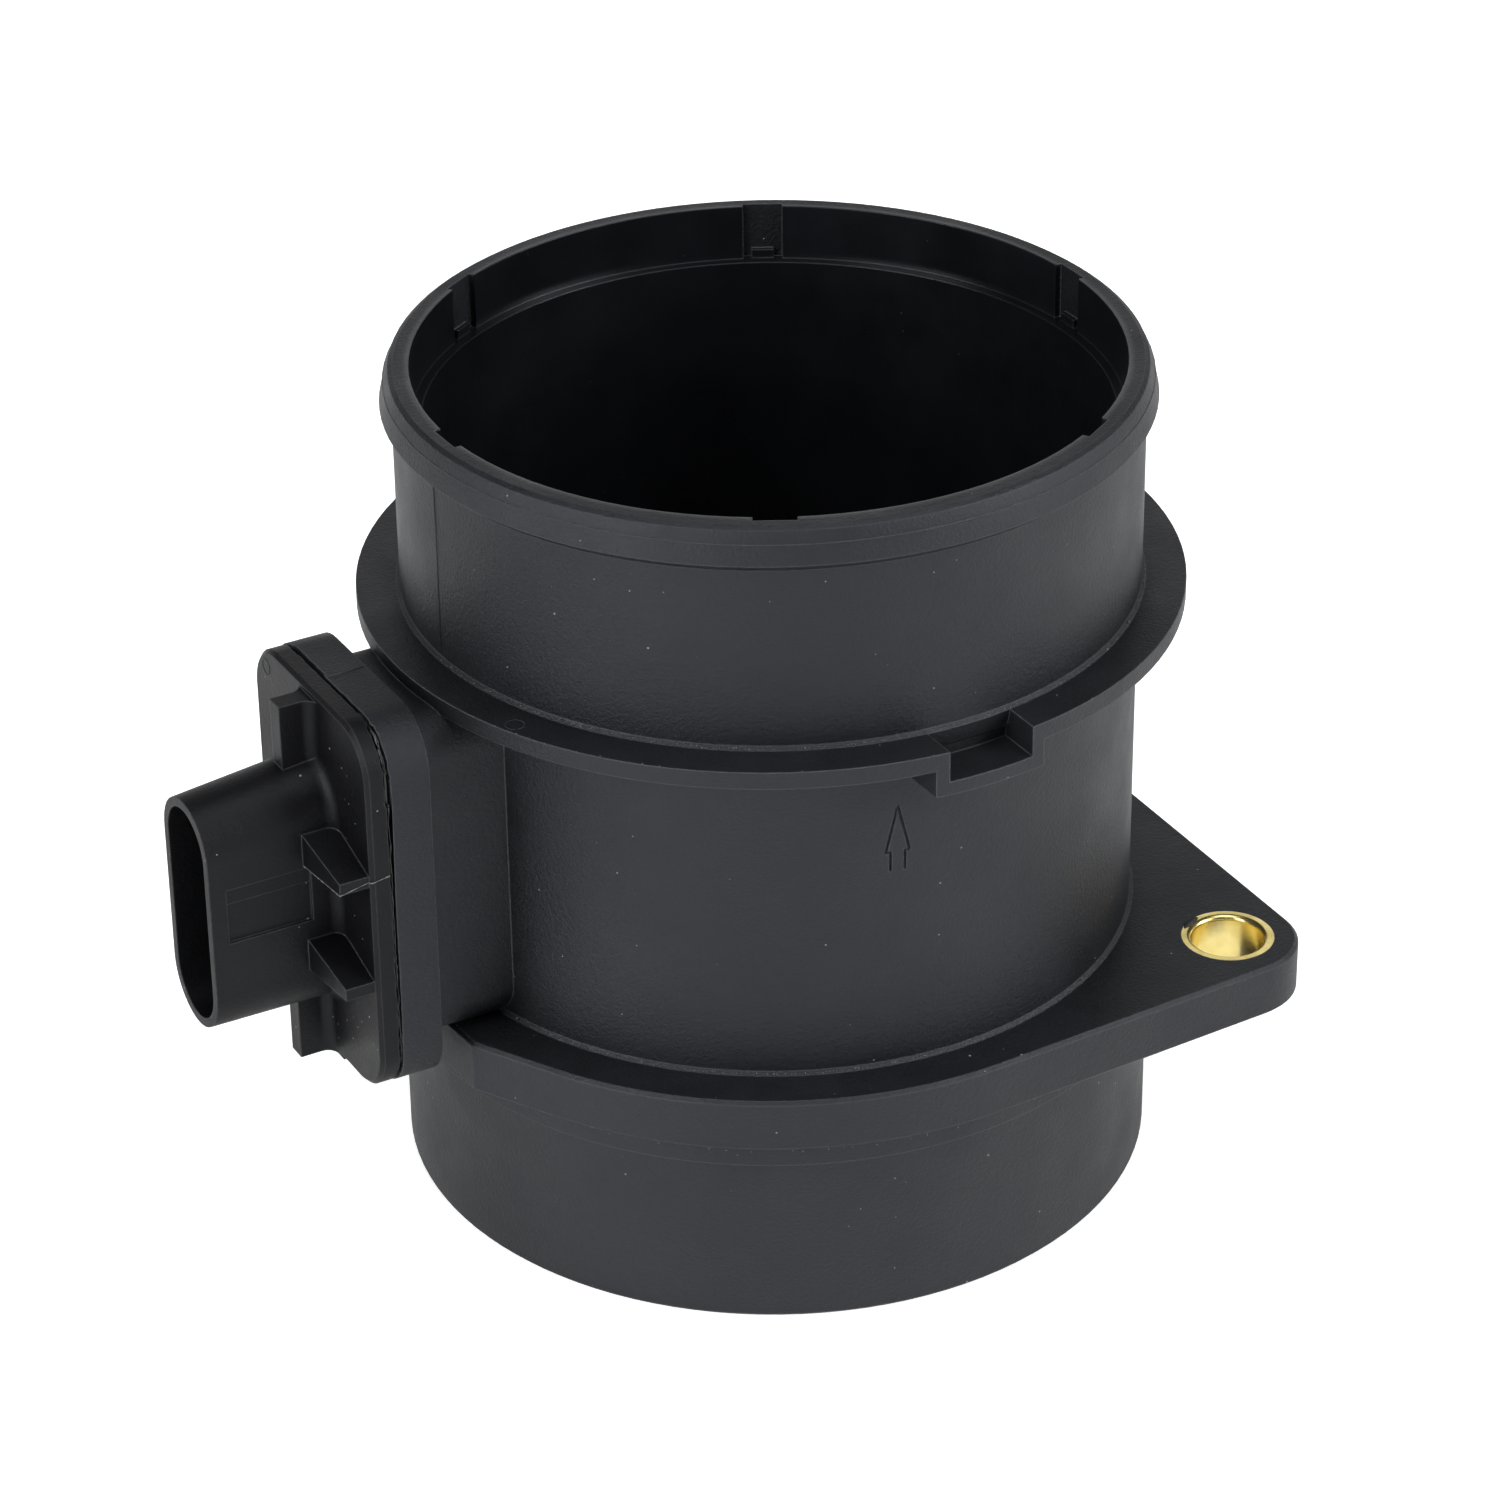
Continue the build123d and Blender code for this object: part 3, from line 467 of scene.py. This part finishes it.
def flake_tree(material):
    """Small flakes along the edges of the mesh: loose plastic that broke off at a mould's edge."""
    tree = bpy.data.node_groups.new("mould_flash", "GeometryNodeTree")
    for name, side, kind in (
        ("Geometry", "INPUT", "NodeSocketGeometry"),
        ("Spacing", "INPUT", "NodeSocketFloat"),
        ("Flake size", "INPUT", "NodeSocketFloat"),
        ("Share", "INPUT", "NodeSocketFloat"),
        ("Seed", "INPUT", "NodeSocketInt"),
        ("Geometry", "OUTPUT", "NodeSocketGeometry"),
    ):
        tree.interface.new_socket(name=name, in_out=side, socket_type=kind)
    given = add_node(tree, "NodeGroupInput").outputs
    line = add_node(tree, "GeometryNodeMeshToCurve", {"Mesh": given["Geometry"]}).outputs["Curve"]
    points = add_node(
        tree,
        "GeometryNodeResampleCurve",
        {"Curve": line, "Length": given["Spacing"]},
        mode="LENGTH",
    ).outputs["Curve"]
    drift = add_node(
        tree,
        "FunctionNodeRandomValue",
        {0: (-1.0, -1.0, -1.0), 1: (1.0, 1.0, 1.0), "Seed": given["Seed"]},
        data_type="FLOAT_VECTOR",
    ).outputs[0]
    offset = add_node(
        tree,
        "ShaderNodeVectorMath",
        {0: drift, "Scale": given["Flake size"]},
        operation="SCALE",
    ).outputs[0]
    scattered = add_node(
        tree, "GeometryNodeSetPosition", {"Geometry": points, "Offset": offset}
    ).outputs["Geometry"]
    kept = add_node(
        tree,
        "FunctionNodeRandomValue",
        {"Probability": given["Share"], "Seed": given["Seed"]},
        data_type="BOOLEAN",
    ).outputs[3]
    # Each flake is turned by up to a full turn, 6.28 radians, about each axis
    turn = add_node(
        tree,
        "FunctionNodeRandomValue",
        {0: (0.0, 0.0, 0.0), 1: (6.28, 6.28, 6.28), "Seed": given["Seed"]},
        data_type="FLOAT_VECTOR",
    ).outputs[0]
    stretch = add_node(
        tree,
        "FunctionNodeRandomValue",
        {0: (0.5, 0.3, 0.2), 1: (1.8, 0.9, 0.5), "Seed": given["Seed"]},
        data_type="FLOAT_VECTOR",
    ).outputs[0]
    size = add_node(
        tree,
        "ShaderNodeVectorMath",
        {0: stretch, "Scale": given["Flake size"]},
        operation="SCALE",
    ).outputs[0]
    flake = add_node(
        tree, "GeometryNodeMeshIcoSphere", {"Radius": 1.0, "Subdivisions": 1}
    ).outputs["Mesh"]
    placed = add_node(
        tree,
        "GeometryNodeInstanceOnPoints",
        {
            "Points": scattered,
            "Selection": kept,
            "Instance": flake,
            "Rotation": turn,
            "Scale": size,
        },
    ).outputs["Instances"]
    real = add_node(tree, "GeometryNodeRealizeInstances", {"Geometry": placed}).outputs["Geometry"]
    named = add_node(
        tree, "GeometryNodeSetMaterial", {"Geometry": real, "Material": material}
    ).outputs["Geometry"]
    add_node(tree, "NodeGroupOutput", {0: named})
    return tree


def scatter_flakes(name, tree, paths, spacing, size, share, seed):
    """Flakes along some paths, each a list of points: their share of the places is kept."""
    mesh = bpy.data.meshes.new(name)
    points, edges = [], []
    for path in paths:
        edges += [(len(points) + i, len(points) + i + 1) for i in range(len(path) - 1)]
        points += path
    mesh.from_pydata(points, edges, [])
    piece = bpy.data.objects.new(name, mesh)
    bpy.context.collection.objects.link(piece)
    modifier = piece.modifiers.new("flakes", "NODES")
    modifier.node_group = tree
    wanted = {"Spacing": spacing, "Flake size": size, "Share": share, "Seed": seed}
    for item in tree.interface.items_tree:
        if item.in_out == "INPUT" and item.name in wanted:
            modifier[item.identifier] = wanted[item.name]
    return apply_modifiers(piece)


def arc(radius, first_degrees, last_degrees, z, step_degrees=2.0, centre=(0.0, 0.0)):
    """Points on an arc about an upright axis."""
    count = max(2, int(abs(last_degrees - first_degrees) / step_degrees))
    middle = Vector((centre[0], centre[1], 0))
    return [
        middle + tube_point(radius, first_degrees + (last_degrees - first_degrees) * i / count, z)
        for i in range(count + 1)
    ]


def rough_widths(count, thin, thick, seed):
    """Half widths that wander between thin and thick."""
    chance = random.Random(seed)
    return [thin + (thick - thin) * chance.random() ** 2 for _ in range(count)]


# Joint between the collar and the head's plate


def joint_path(inset):
    """Points round the joint, a joint step apart and this far in from the collar's sides."""
    middle_y = COLLAR_HALF_WIDTH - COLLAR_CORNER
    low, high = COLLAR_BOTTOM_Z + COLLAR_CORNER, COLLAR_TOP_Z - COLLAR_CORNER
    radius = COLLAR_CORNER - inset
    turns = []
    for y, z, first in (
        (-middle_y, high, 180.0),
        (middle_y, high, 90.0),
        (middle_y, low, 0.0),
        (-middle_y, low, -90.0),
    ):
        for i in range(16):
            angle = math.radians(first - 6.0 * i)
            turns.append(
                Vector((-JOINT_REACH, y + radius * math.cos(angle), z + radius * math.sin(angle)))
            )
    path = []
    for start, end in zip(turns, turns[1:] + turns[:1]):
        steps = max(1, round((end - start).length / JOINT_STEP))
        path += [start.lerp(end, i / steps) for i in range(steps)]
    return path


def joint_width(y, z, chance):
    """How far the joint's edge is chipped there: most round the upper near corner and on top."""
    near_corner = y < -9.0 * MM and z > 55.6 * MM
    far_top = z > 62.0 * MM and 0.9 * MM < y < 7.6 * MM
    width = 0.20 * MM if near_corner or far_top else 0.06 * MM
    wander = 0.12 * MM * (chance.random() - 0.4)
    return max(width + wander, 0)


def chip_joint_edge(mesh, reach, inset, towards):
    """Makes the edge beside the joint ragged: it gives way along X, so its side stays flat.

    The edge lies at this reach along -X and this far in from the collar's sides.
    """
    half_height = (COLLAR_TOP_Z - COLLAR_BOTTOM_Z) / 2
    middle_z = (COLLAR_TOP_Z + COLLAR_BOTTOM_Z) / 2

    def on_edge(place):
        y = max(abs(place.y) - COLLAR_HALF_WIDTH + COLLAR_CORNER, 0)
        z = max(abs(place.z - middle_z) - half_height + COLLAR_CORNER, 0)
        return (
            abs(place.x + reach) < WALL_SLACK
            and abs(math.hypot(y, z) - COLLAR_CORNER + inset) < WALL_SLACK
        )

    work = bmesh.new()
    work.from_mesh(mesh)
    rim = [edge for edge in work.edges if all(on_edge(vertex.co) for vertex in edge.verts)]
    for edge in rim:
        cuts = int(edge.calc_length() / JOINT_STEP)
        if cuts:
            bmesh.ops.subdivide_edges(work, edges=[edge], cuts=cuts)
    chance = random.Random(21)
    chipped = sorted(
        (vertex for vertex in work.verts if on_edge(vertex.co)),
        key=lambda vertex: (round(vertex.co.z, 6), round(vertex.co.y, 6)),
    )
    for vertex in chipped:
        vertex.co.x += towards * joint_width(vertex.co.y, vertex.co.z, chance)
    work.to_mesh(mesh)
    work.free()


# Tube, flange and ring


def arrow_lines():
    """The flow arrow on the tube's wall, unrolled: an open shaft below a pointed head."""
    corners = [
        (-ARROW_SHAFT, ARROW_BOTTOM_Z),
        (-ARROW_SHAFT, ARROW_BARBS_Z),
        (-ARROW_HEAD, ARROW_BARBS_Z),
        (0.0, ARROW_TIP_Z),
        (ARROW_HEAD, ARROW_BARBS_Z),
        (ARROW_SHAFT, ARROW_BARBS_Z),
        (ARROW_SHAFT, ARROW_BOTTOM_Z),
    ]
    return [(Vector(start), Vector(end)) for start, end in zip(corners, corners[1:])]


def engrave_arrow(mesh):
    """Cuts the wall into a fine grid round the arrow and sinks the arrow's lines into it."""
    work = bmesh.new()
    work.from_mesh(mesh)
    # The wall's long facets next to the arrow are the ones that are cut
    reach = math.radians(6.0)
    faces = []
    for face in work.faces:
        middle = face.calc_center_median()
        turn = math.atan2(middle.y, middle.x) - ARROW_ANGLE
        upright = all(abs(vertex.co.xy.length - BODY_RADIUS) < WALL_FIT for vertex in face.verts)
        if upright and abs(turn) < reach:
            faces.append(face)
    region = set(faces)
    for face in faces:
        region.update(face.edges, face.verts)
    region = list(region)
    # The grid reaches a few cells past the arrow on each side, below it and above it
    cuts = []
    for i in range(-18, 19):
        turn = ARROW_ANGLE + i * ARROW_GRID / BODY_RADIUS
        cuts.append(((0, 0, 0), (-math.sin(turn), math.cos(turn), 0)))
    for i in range(-8, 91):
        cuts.append(((0, 0, ARROW_BOTTOM_Z + i * ARROW_GRID), (0, 0, 1)))
    for place, facing in cuts:
        region = bmesh.ops.bisect_plane(
            work, geom=region, dist=1e-8, plane_co=place, plane_no=facing
        )["geom"]
    for vertex in (item for item in region if isinstance(item, bmesh.types.BMVert)):
        turn = math.atan2(vertex.co.y, vertex.co.x) - ARROW_ANGLE
        place = Vector((turn * BODY_RADIUS, vertex.co.z))
        away = min(line_distance(place, start, end) for start, end in arrow_lines())
        if away < ARROW_LINE:
            radius = BODY_RADIUS - ARROW_DEPTH * (1 - away / ARROW_LINE)
            vertex.co = tube_point(radius, math.degrees(turn + ARROW_ANGLE), vertex.co.z)
    work.to_mesh(mesh)
    work.free()


def line_distance(place, start, end):
    """How far a flat place is from the line between two others."""
    along = end - start
    share = min(max((place - start).dot(along) / along.length_squared, 0.0), 1.0)
    return (place - start - along * share).length


def make_tube(material):
    """The housing, with the flow arrow engraved and the joint's edge chipped."""
    tube = smooth_copy("housing", "tube_moulding")
    engrave_arrow(tube.data)
    chip_joint_edge(tube.data, COLLAR_FACE_REACH, 0.0, 1)
    tube.data.set_sharp_from_angle(angle=CREASE)
    weight_normals(tube)
    round_walls(tube, (BODY_RADIUS, HOSE_RADIUS, BORE_RADIUS, INLET_RADIUS))
    return finish_piece(tube, "black_plastic", material, "housing")


def turned_ring(name, centre, inner, outer, bottom, top, rounding, segments=72, steps=6):
    """A turned ring about an upright axis, with both ends of its bore rounded."""
    profile = [(outer, bottom)]
    for i in range(steps + 1):
        angle = math.pi / 2 * i / steps
        profile.append(
            (
                inner + rounding * (1 - math.sin(angle)),
                bottom + rounding * (1 - math.cos(angle)),
            )
        )
    for i in range(steps + 1):
        angle = math.pi / 2 * i / steps
        profile.append(
            (
                inner + rounding * (1 - math.cos(angle)),
                top - rounding * (1 - math.sin(angle)),
            )
        )
    profile.append((outer, top))
    built = bmesh.new()
    rings = []
    for k in range(segments):
        turn = 2 * math.pi * k / segments
        rings.append(
            [
                built.verts.new((centre[0] + r * math.cos(turn), centre[1] + r * math.sin(turn), z))
                for r, z in profile
            ]
        )
    for k in range(segments):
        here, there = rings[k], rings[(k + 1) % segments]
        for i in range(len(profile)):
            n = (i + 1) % len(profile)
            built.faces.new((here[i], here[n], there[n], there[i]))
    bmesh.ops.recalc_face_normals(built, faces=built.faces)
    mesh = bpy.data.meshes.new(name)
    built.to_mesh(mesh)
    built.free()
    mesh.shade_smooth()
    mesh.set_sharp_from_angle(angle=math.radians(50.0))
    piece = bpy.data.objects.new(name, mesh)
    bpy.context.collection.objects.link(piece)
    return weight_normals(piece)


def join_pieces(name, pieces):
    """Several pieces made one mesh."""
    joined = bmesh.new()
    for piece in pieces:
        joined.from_mesh(piece.data)
        bpy.data.objects.remove(piece)
    mesh = bpy.data.meshes.new(name)
    joined.to_mesh(mesh)
    joined.free()
    one = bpy.data.objects.new(name, mesh)
    bpy.context.collection.objects.link(one)
    return one


def make_bushings(material):
    """The two brass bushings, each with a rounded lip round its bore."""
    rings = []
    for side in (1, -1):
        centre = (side * EAR_X, side * EAR_Y)
        rings.append(
            turned_ring(
                f"bushing_{side}",
                centre,
                BUSHING_BORE_RADIUS,
                BUSHING_RADIUS,
                FLANGE_BOTTOM_Z,
                FLANGE_TOP_Z,
                BUSHING_LIP,
            )
        )
    both = join_pieces("brass_bushings", rings)
    return finish_piece(both, "brass", material, "mounting_bushings")


def make_bushing_flash(material):
    """The lump of plastic that crept over the near bushing's lip."""
    radius, z = BUSHING_RADIUS - 0.2 * MM, FLANGE_TOP_Z - 0.1 * MM
    lump = arc(radius, 98.0, 134.0, z, 6.0, (EAR_X, EAR_Y))
    widths = [width * MM for width in (0.1, 0.34, 0.5, 0.3, 0.42, 0.22, 0.08)]
    piece = sweep("bushing_flash", lump, widths, sides=8)
    return finish_piece(piece, "black_plastic", material)


def make_parting_lines(material):
    """Fine raised lines where the halves of the mould met."""
    coarse, fine = 0.07 * MM, 0.05 * MM
    bead = arc(BEAD_PARTING_RADIUS, 0.0, 356.0, BEAD_PARTING_Z, 4.0)
    # From just above the ring to just below the bead
    outlet = [tube_point(HOSE_RADIUS, -178.8, z * MM) for z in (63.0, 80.3)]
    collar = [Vector((-46.9, 0.5, 62.8)) * MM, Vector((-43.2, 0.6, 62.8)) * MM]
    neck = [Vector((-42.8, -0.2, 60.8)) * MM, Vector((-40.2, -0.2, 60.8)) * MM]
    lines = [
        sweep("bead_parting_line", bead, coarse, closed=True),
        sweep("outlet_parting_line", outlet, coarse),
        sweep("collar_parting_line", collar, fine),
        sweep("neck_parting_line", neck, fine),
    ]
    for line in lines:
        finish_piece(line, "black_plastic", material)


def make_ejector_mark(name, centre, across, along, radius, material):
    """The faint ring that an ejector pin leaves."""
    count = 24
    ring = []
    for i in range(count):
        angle = 2 * math.pi * i / count
        ring.append(centre + across * radius * math.cos(angle) + along * radius * math.sin(angle))
    return finish_piece(sweep(name, ring, 0.04 * MM, closed=True), "black_plastic", material)


def make_mould_flash(material):
    """Crumbs and slivers at the moulding's edges, and pale specks in the near junction coves:
    crumbs and a painted highlight.
    """
    tree = flake_tree(material)
    # Pale flakes in the flange's and the ring's coves, on the near side only: partly crumbs, partly
    # painted highlight
    crumbs_and_highlights = scatter_flakes(
        "crumb_and_highlight_specks",
        tree,
        [
            arc(BODY_RADIUS + 0.22 * MM, -165.0, -45.0, FLANGE_TOP_Z + 0.12 * MM),
            arc(HOSE_RADIUS + 0.22 * MM, -178.0, -30.0, RING_TOP_Z + 0.12 * MM),
        ],
        spacing=0.3 * MM,
        size=0.085 * MM,
        share=0.6,
        seed=5,
    )
    slivers = scatter_flakes(
        "edge_flash",
        tree,
        [
            arc(FLANGE_RADIUS, -150.0, -60.0, FLANGE_BOTTOM_Z + 0.05 * MM),
            arc(RING_RADIUS - 0.05 * MM, -170.0, -98.0, RING_TOP_Z),
            arc(RING_RADIUS - 0.05 * MM, -80.0, -30.0, RING_TOP_Z),
        ],
        spacing=0.8 * MM,
        size=0.09 * MM,
        share=0.22,
        seed=8,
    )
    finish_piece(crumbs_and_highlights, "black_plastic", material)
    finish_piece(slivers, "black_plastic", material)


# Electrical head


def thin_socket_wall(mesh):
    """Widens the socket a little, so that the shroud's wall is as thin as the real one's."""
    for vertex in mesh.vertices:
        place = vertex.co
        if place.x > -SOCKET_FLOOR_REACH + WALL_SLACK:
            continue
        middle = Vector((place.x, 0, min(max(place.z, SOCKET_LOW_Z), SOCKET_HIGH_Z)))
        out = place - middle
        if abs(out.length - SOCKET_RADIUS) < WALL_SLACK:
            vertex.co = middle + out.normalized() * (SOCKET_RADIUS + SOCKET_WIDENING)


def make_head(material):
    """The glued-in head: plate, gussets, shroud and measuring arm."""
    head = smooth_copy("sensor_head", "head_moulding")
    thin_socket_wall(head.data)
    chip_joint_edge(head.data, PLATE_BACK_REACH, PLATE_INSET, -1)
    head.data.set_sharp_from_angle(angle=CREASE)
    weight_normals(head)
    return finish_piece(head, "black_plastic", material, "sensor_head")


def make_glue_beads(material):
    """Adhesive that squeezed out of the joint: beads round the corner and a ragged line below."""
    path = joint_path(0.12 * MM)
    chance = random.Random(11)
    corner, side = [], []
    for point in path:
        wander = Vector((chance.random() - 0.5, 0, 0)) * 0.16 * MM
        round_corner = point.y < -7.0 * MM and point.z > 58.6 * MM
        down_side = point.y < -12.0 * MM and 27.0 * MM < point.z <= 55.6 * MM
        if round_corner:
            corner.append(point + wander)
        elif down_side:
            side.append(point + wander)
    side.sort(key=lambda point: point.z)
    beads = sweep("corner_glue", corner, rough_widths(len(corner), 0.06 * MM, 0.30 * MM, 4))
    line = sweep("side_glue", side, rough_widths(len(side), 0.04 * MM, 0.13 * MM, 9))
    finish_piece(beads, "adhesive", material)
    finish_piece(line, "adhesive", material)


def make_gusset_flash(material):
    """The ragged parting line over the upper gusset and across the plate to the joint."""
    # In millimetres
    corners = (
        Vector((-53.0, -5.0, 47.0)),
        Vector((-52.4, -11.72, 47.02)),
        Vector((-49.5, -11.72, 47.6)),
        Vector((-49.3, -12.2, 47.7)),
        Vector((-47.5, -12.22, 48.0)),
    )
    spacing = 0.3
    path = []
    for start, end in zip(corners, corners[1:]):
        steps = max(1, int((end - start).length / spacing))
        path += [start.lerp(end, i / steps) * MM for i in range(steps)]
    path.append(corners[-1] * MM)
    widths = rough_widths(len(path), 0.015 * MM, 0.085 * MM, 6)
    return finish_piece(sweep("gusset_flash", path, widths), "black_plastic", material)


# Floor, light and camera


def make_stage():
    """A wide white floor, which is plain white to the camera apart from the object's shadow."""
    material, tree, place = start_material("white_floor")
    path = add_node(tree, "ShaderNodeLightPath").outputs
    # Gloss and glass show the floor a little darker than the camera does
    through = add_node(
        tree,
        "ShaderNodeMath",
        (path["Is Glossy Ray"], path["Is Transmission Ray"]),
        operation="MAXIMUM",
    ).outputs[0]
    soft = add_node(
        tree, "ShaderNodeMath", (through, FLOOR_GLOW_REFLECTED), operation="MULTIPLY"
    ).outputs[0]
    # Away from the object's shadow and the lamps, 0.3 to 1.2 m out, it glows up to plain white
    away = add_node(tree, "ShaderNodeVectorMath", (place,), operation="LENGTH").outputs["Value"]
    white = add_node(
        tree, "ShaderNodeMapRange", (away, 0.3, 1.2, FLOOR_GLOW_NEAR, FLOOR_GLOW_FAR)
    ).outputs[0]
    plain = add_node(
        tree, "ShaderNodeMath", (path["Is Camera Ray"], white), operation="MULTIPLY"
    ).outputs[0]
    level = add_node(tree, "ShaderNodeMath", (soft, plain), operation="MAXIMUM").outputs[0]
    glow = add_node(tree, "ShaderNodeEmission", {"Strength": level})
    cloth = add_node(tree, "ShaderNodeBsdfDiffuse", {"Color": linear("f2f2f2")})
    both = add_node(tree, "ShaderNodeAddShader", (cloth.outputs["BSDF"], glow.outputs["Emission"]))
    add_node(tree, "ShaderNodeOutputMaterial", {"Surface": both.outputs["Shader"]})
    bpy.ops.mesh.primitive_plane_add(size=6.0)
    floor = bpy.context.object
    floor.name = "floor"
    floor.data.materials.append(material)


def make_world():
    """White behind the object, and for what reflects low down, with a darker room above."""
    world = bpy.data.worlds.new("studio")
    bpy.context.scene.world = world
    world.use_nodes = True
    tree = world.node_tree
    tree.nodes.clear()
    direction = add_node(tree, "ShaderNodeTexCoord").outputs["Generated"]
    height = add_node(tree, "ShaderNodeSeparateXYZ", (direction,)).outputs["Z"]
    # From white at the horizon down to 0.04 at 17 degrees above it
    backdrop = add_node(tree, "ShaderNodeMapRange", (height, 0.0, 0.30, 1.0, 0.04)).outputs[0]
    seen = add_node(tree, "ShaderNodeLightPath").outputs["Is Camera Ray"]
    level = add_node(tree, "ShaderNodeMath", (seen, backdrop), operation="MAXIMUM").outputs[0]
    back = add_node(tree, "ShaderNodeBackground", {"Color": linear("ffffff"), "Strength": level})
    add_node(tree, "ShaderNodeOutputWorld", {"Surface": back.outputs["Background"]})


def add_softbox(name, place, size, watts):
    """A square softbox that faces the middle of the object."""
    middle = Vector((0, 0, 0.045))
    light = bpy.data.lights.new(name, "AREA")
    light.size = size
    light.energy = watts
    box = bpy.data.objects.new(name, light)
    bpy.context.collection.objects.link(box)
    box.location = place
    box.rotation_euler = (middle - Vector(place)).to_track_quat("-Z", "Y").to_euler()


def make_lights():
    """Softboxes at both sides of the camera, one behind the object and one above."""
    add_softbox("softbox_right", (0.75, -0.75, 0.65), 0.7, 11.0)
    add_softbox("softbox_left", (-0.95, -0.20, 0.55), 0.7, 9.0)
    add_softbox("softbox_back", (0.50, 0.95, 0.60), 0.6, 1.0)
    add_softbox("softbox_above", (-0.05, -0.25, 1.30), 0.9, 6.0)


def make_camera():
    """The photograph's camera."""
    level = CAMERA_FORWARD.cross(Vector((0, 0, 1))).normalized()
    upright = level.cross(CAMERA_FORWARD)
    cosine, sine = math.cos(CAMERA_ROLL), math.sin(CAMERA_ROLL)
    right = cosine * level + sine * upright
    up = cosine * upright - sine * level
    data = bpy.data.cameras.new("camera")
    data.lens = CAMERA_LENS
    data.sensor_width = 36.0
    data.shift_x = CAMERA_SHIFT
    data.clip_start = 0.01
    camera = bpy.data.objects.new("camera", data)
    bpy.context.collection.objects.link(camera)
    rows = [(right[i], up[i], -CAMERA_FORWARD[i], CAMERA_PLACE[i]) for i in range(3)]
    camera.matrix_world = Matrix(rows + [(0, 0, 0, 1)])
    bpy.context.scene.camera = camera


# The whole picture

nylon = tube_plastic()
polyester = head_plastic()
brass = turned_brass()
silicone = squeezed_adhesive()
# Tin, plated: pale grey and a little cloudy
tin = plain_metal("tin_plating", ("d6d5d0", "b5b3ab"), (0.28, 0.42), 4.0 * MM)
crumbs_and_highlights = plastic_crumbs()

make_tube(nylon)
make_bushings(brass)
make_bushing_flash(nylon)
make_parting_lines(nylon)
make_mould_flash(crumbs_and_highlights)
make_head(polyester)
make_glue_beads(silicone)
make_gusset_flash(crumbs_and_highlights)
make_ejector_mark(
    "ring_ejector_mark",
    Vector((-35.6 * MM, -15.4 * MM, RING_TOP_Z)),
    Vector((1, 0, 0)),
    Vector((0, 1, 0)),
    0.9 * MM,
    nylon,
)
make_ejector_mark(
    "plate_ejector_mark",
    Vector((-PLATE_FACE_REACH, 9.3 * MM, 60.4 * MM)),
    Vector((0, 1, 0)),
    Vector((0, 0, 1)),
    0.8 * MM,
    polyester,
)

dress_node("flow_straightener", nylon)
dress_node("electronics_cover", polyester)
dress_node("channel_cover", polyester)
dress_node("seal_bead", silicone)
for number in range(1, 6):
    dress_node(f"terminal_{number}", tin)
dress_node("temperature_leads", tin)
# Aluminium carrier, rolled and stamped: long faint streaks
aluminium = plain_metal("rolled_aluminium", ("c9cbcd", "aeb1b4"), (0.32, 0.46), 6.0 * MM)
dress_node("base_plate", aluminium)
dress_node("chip_holder", aluminium)
# Aluminium wire, drawn: bright
wire = plain_metal("drawn_aluminium", ("dedfe0", "c4c6c8"), (0.2, 0.3), 1.0 * MM)
dress_node("bond_wires", wire)
# Alumina board, fired: chalky white with a faint mottle
alumina = speckled_solid("fired_alumina", ("e6e4dc", "d8d5ca"), (0.5, 0.65), 1.5 * MM)
dress_node("circuit_board", alumina)
# Epoxy package, moulded: dull black
epoxy = speckled_solid("epoxy_package", ("1c1c1e", "26262a"), (0.45, 0.6), 0.3 * MM)
dress_node("control_chip", epoxy)
# Ceramic capacitors, fired: tan and finely mottled
titanate = speckled_solid("fired_titanate", ("9c7a55", "85684a"), (0.4, 0.55), 0.3 * MM)
dress_node("chip_capacitors", titanate)
# Silicon, polished and coated: blue-grey and shiny
silicon = speckled_solid("polished_silicon", ("3d4455", "4a5168"), (0.1, 0.18), 1.0 * MM)
dress_node("hot_film_chip", silicon)
# Thermistor bead, glazed: red-brown glass
glaze = speckled_solid("glazed_bead", ("5a1e12", "6e2a18"), (0.08, 0.16), 0.6 * MM)
dress_node("temperature_bead", glaze)

make_stage()
make_world()
make_lights()
make_camera()

bpy.context.scene.view_settings.view_transform = "Standard"
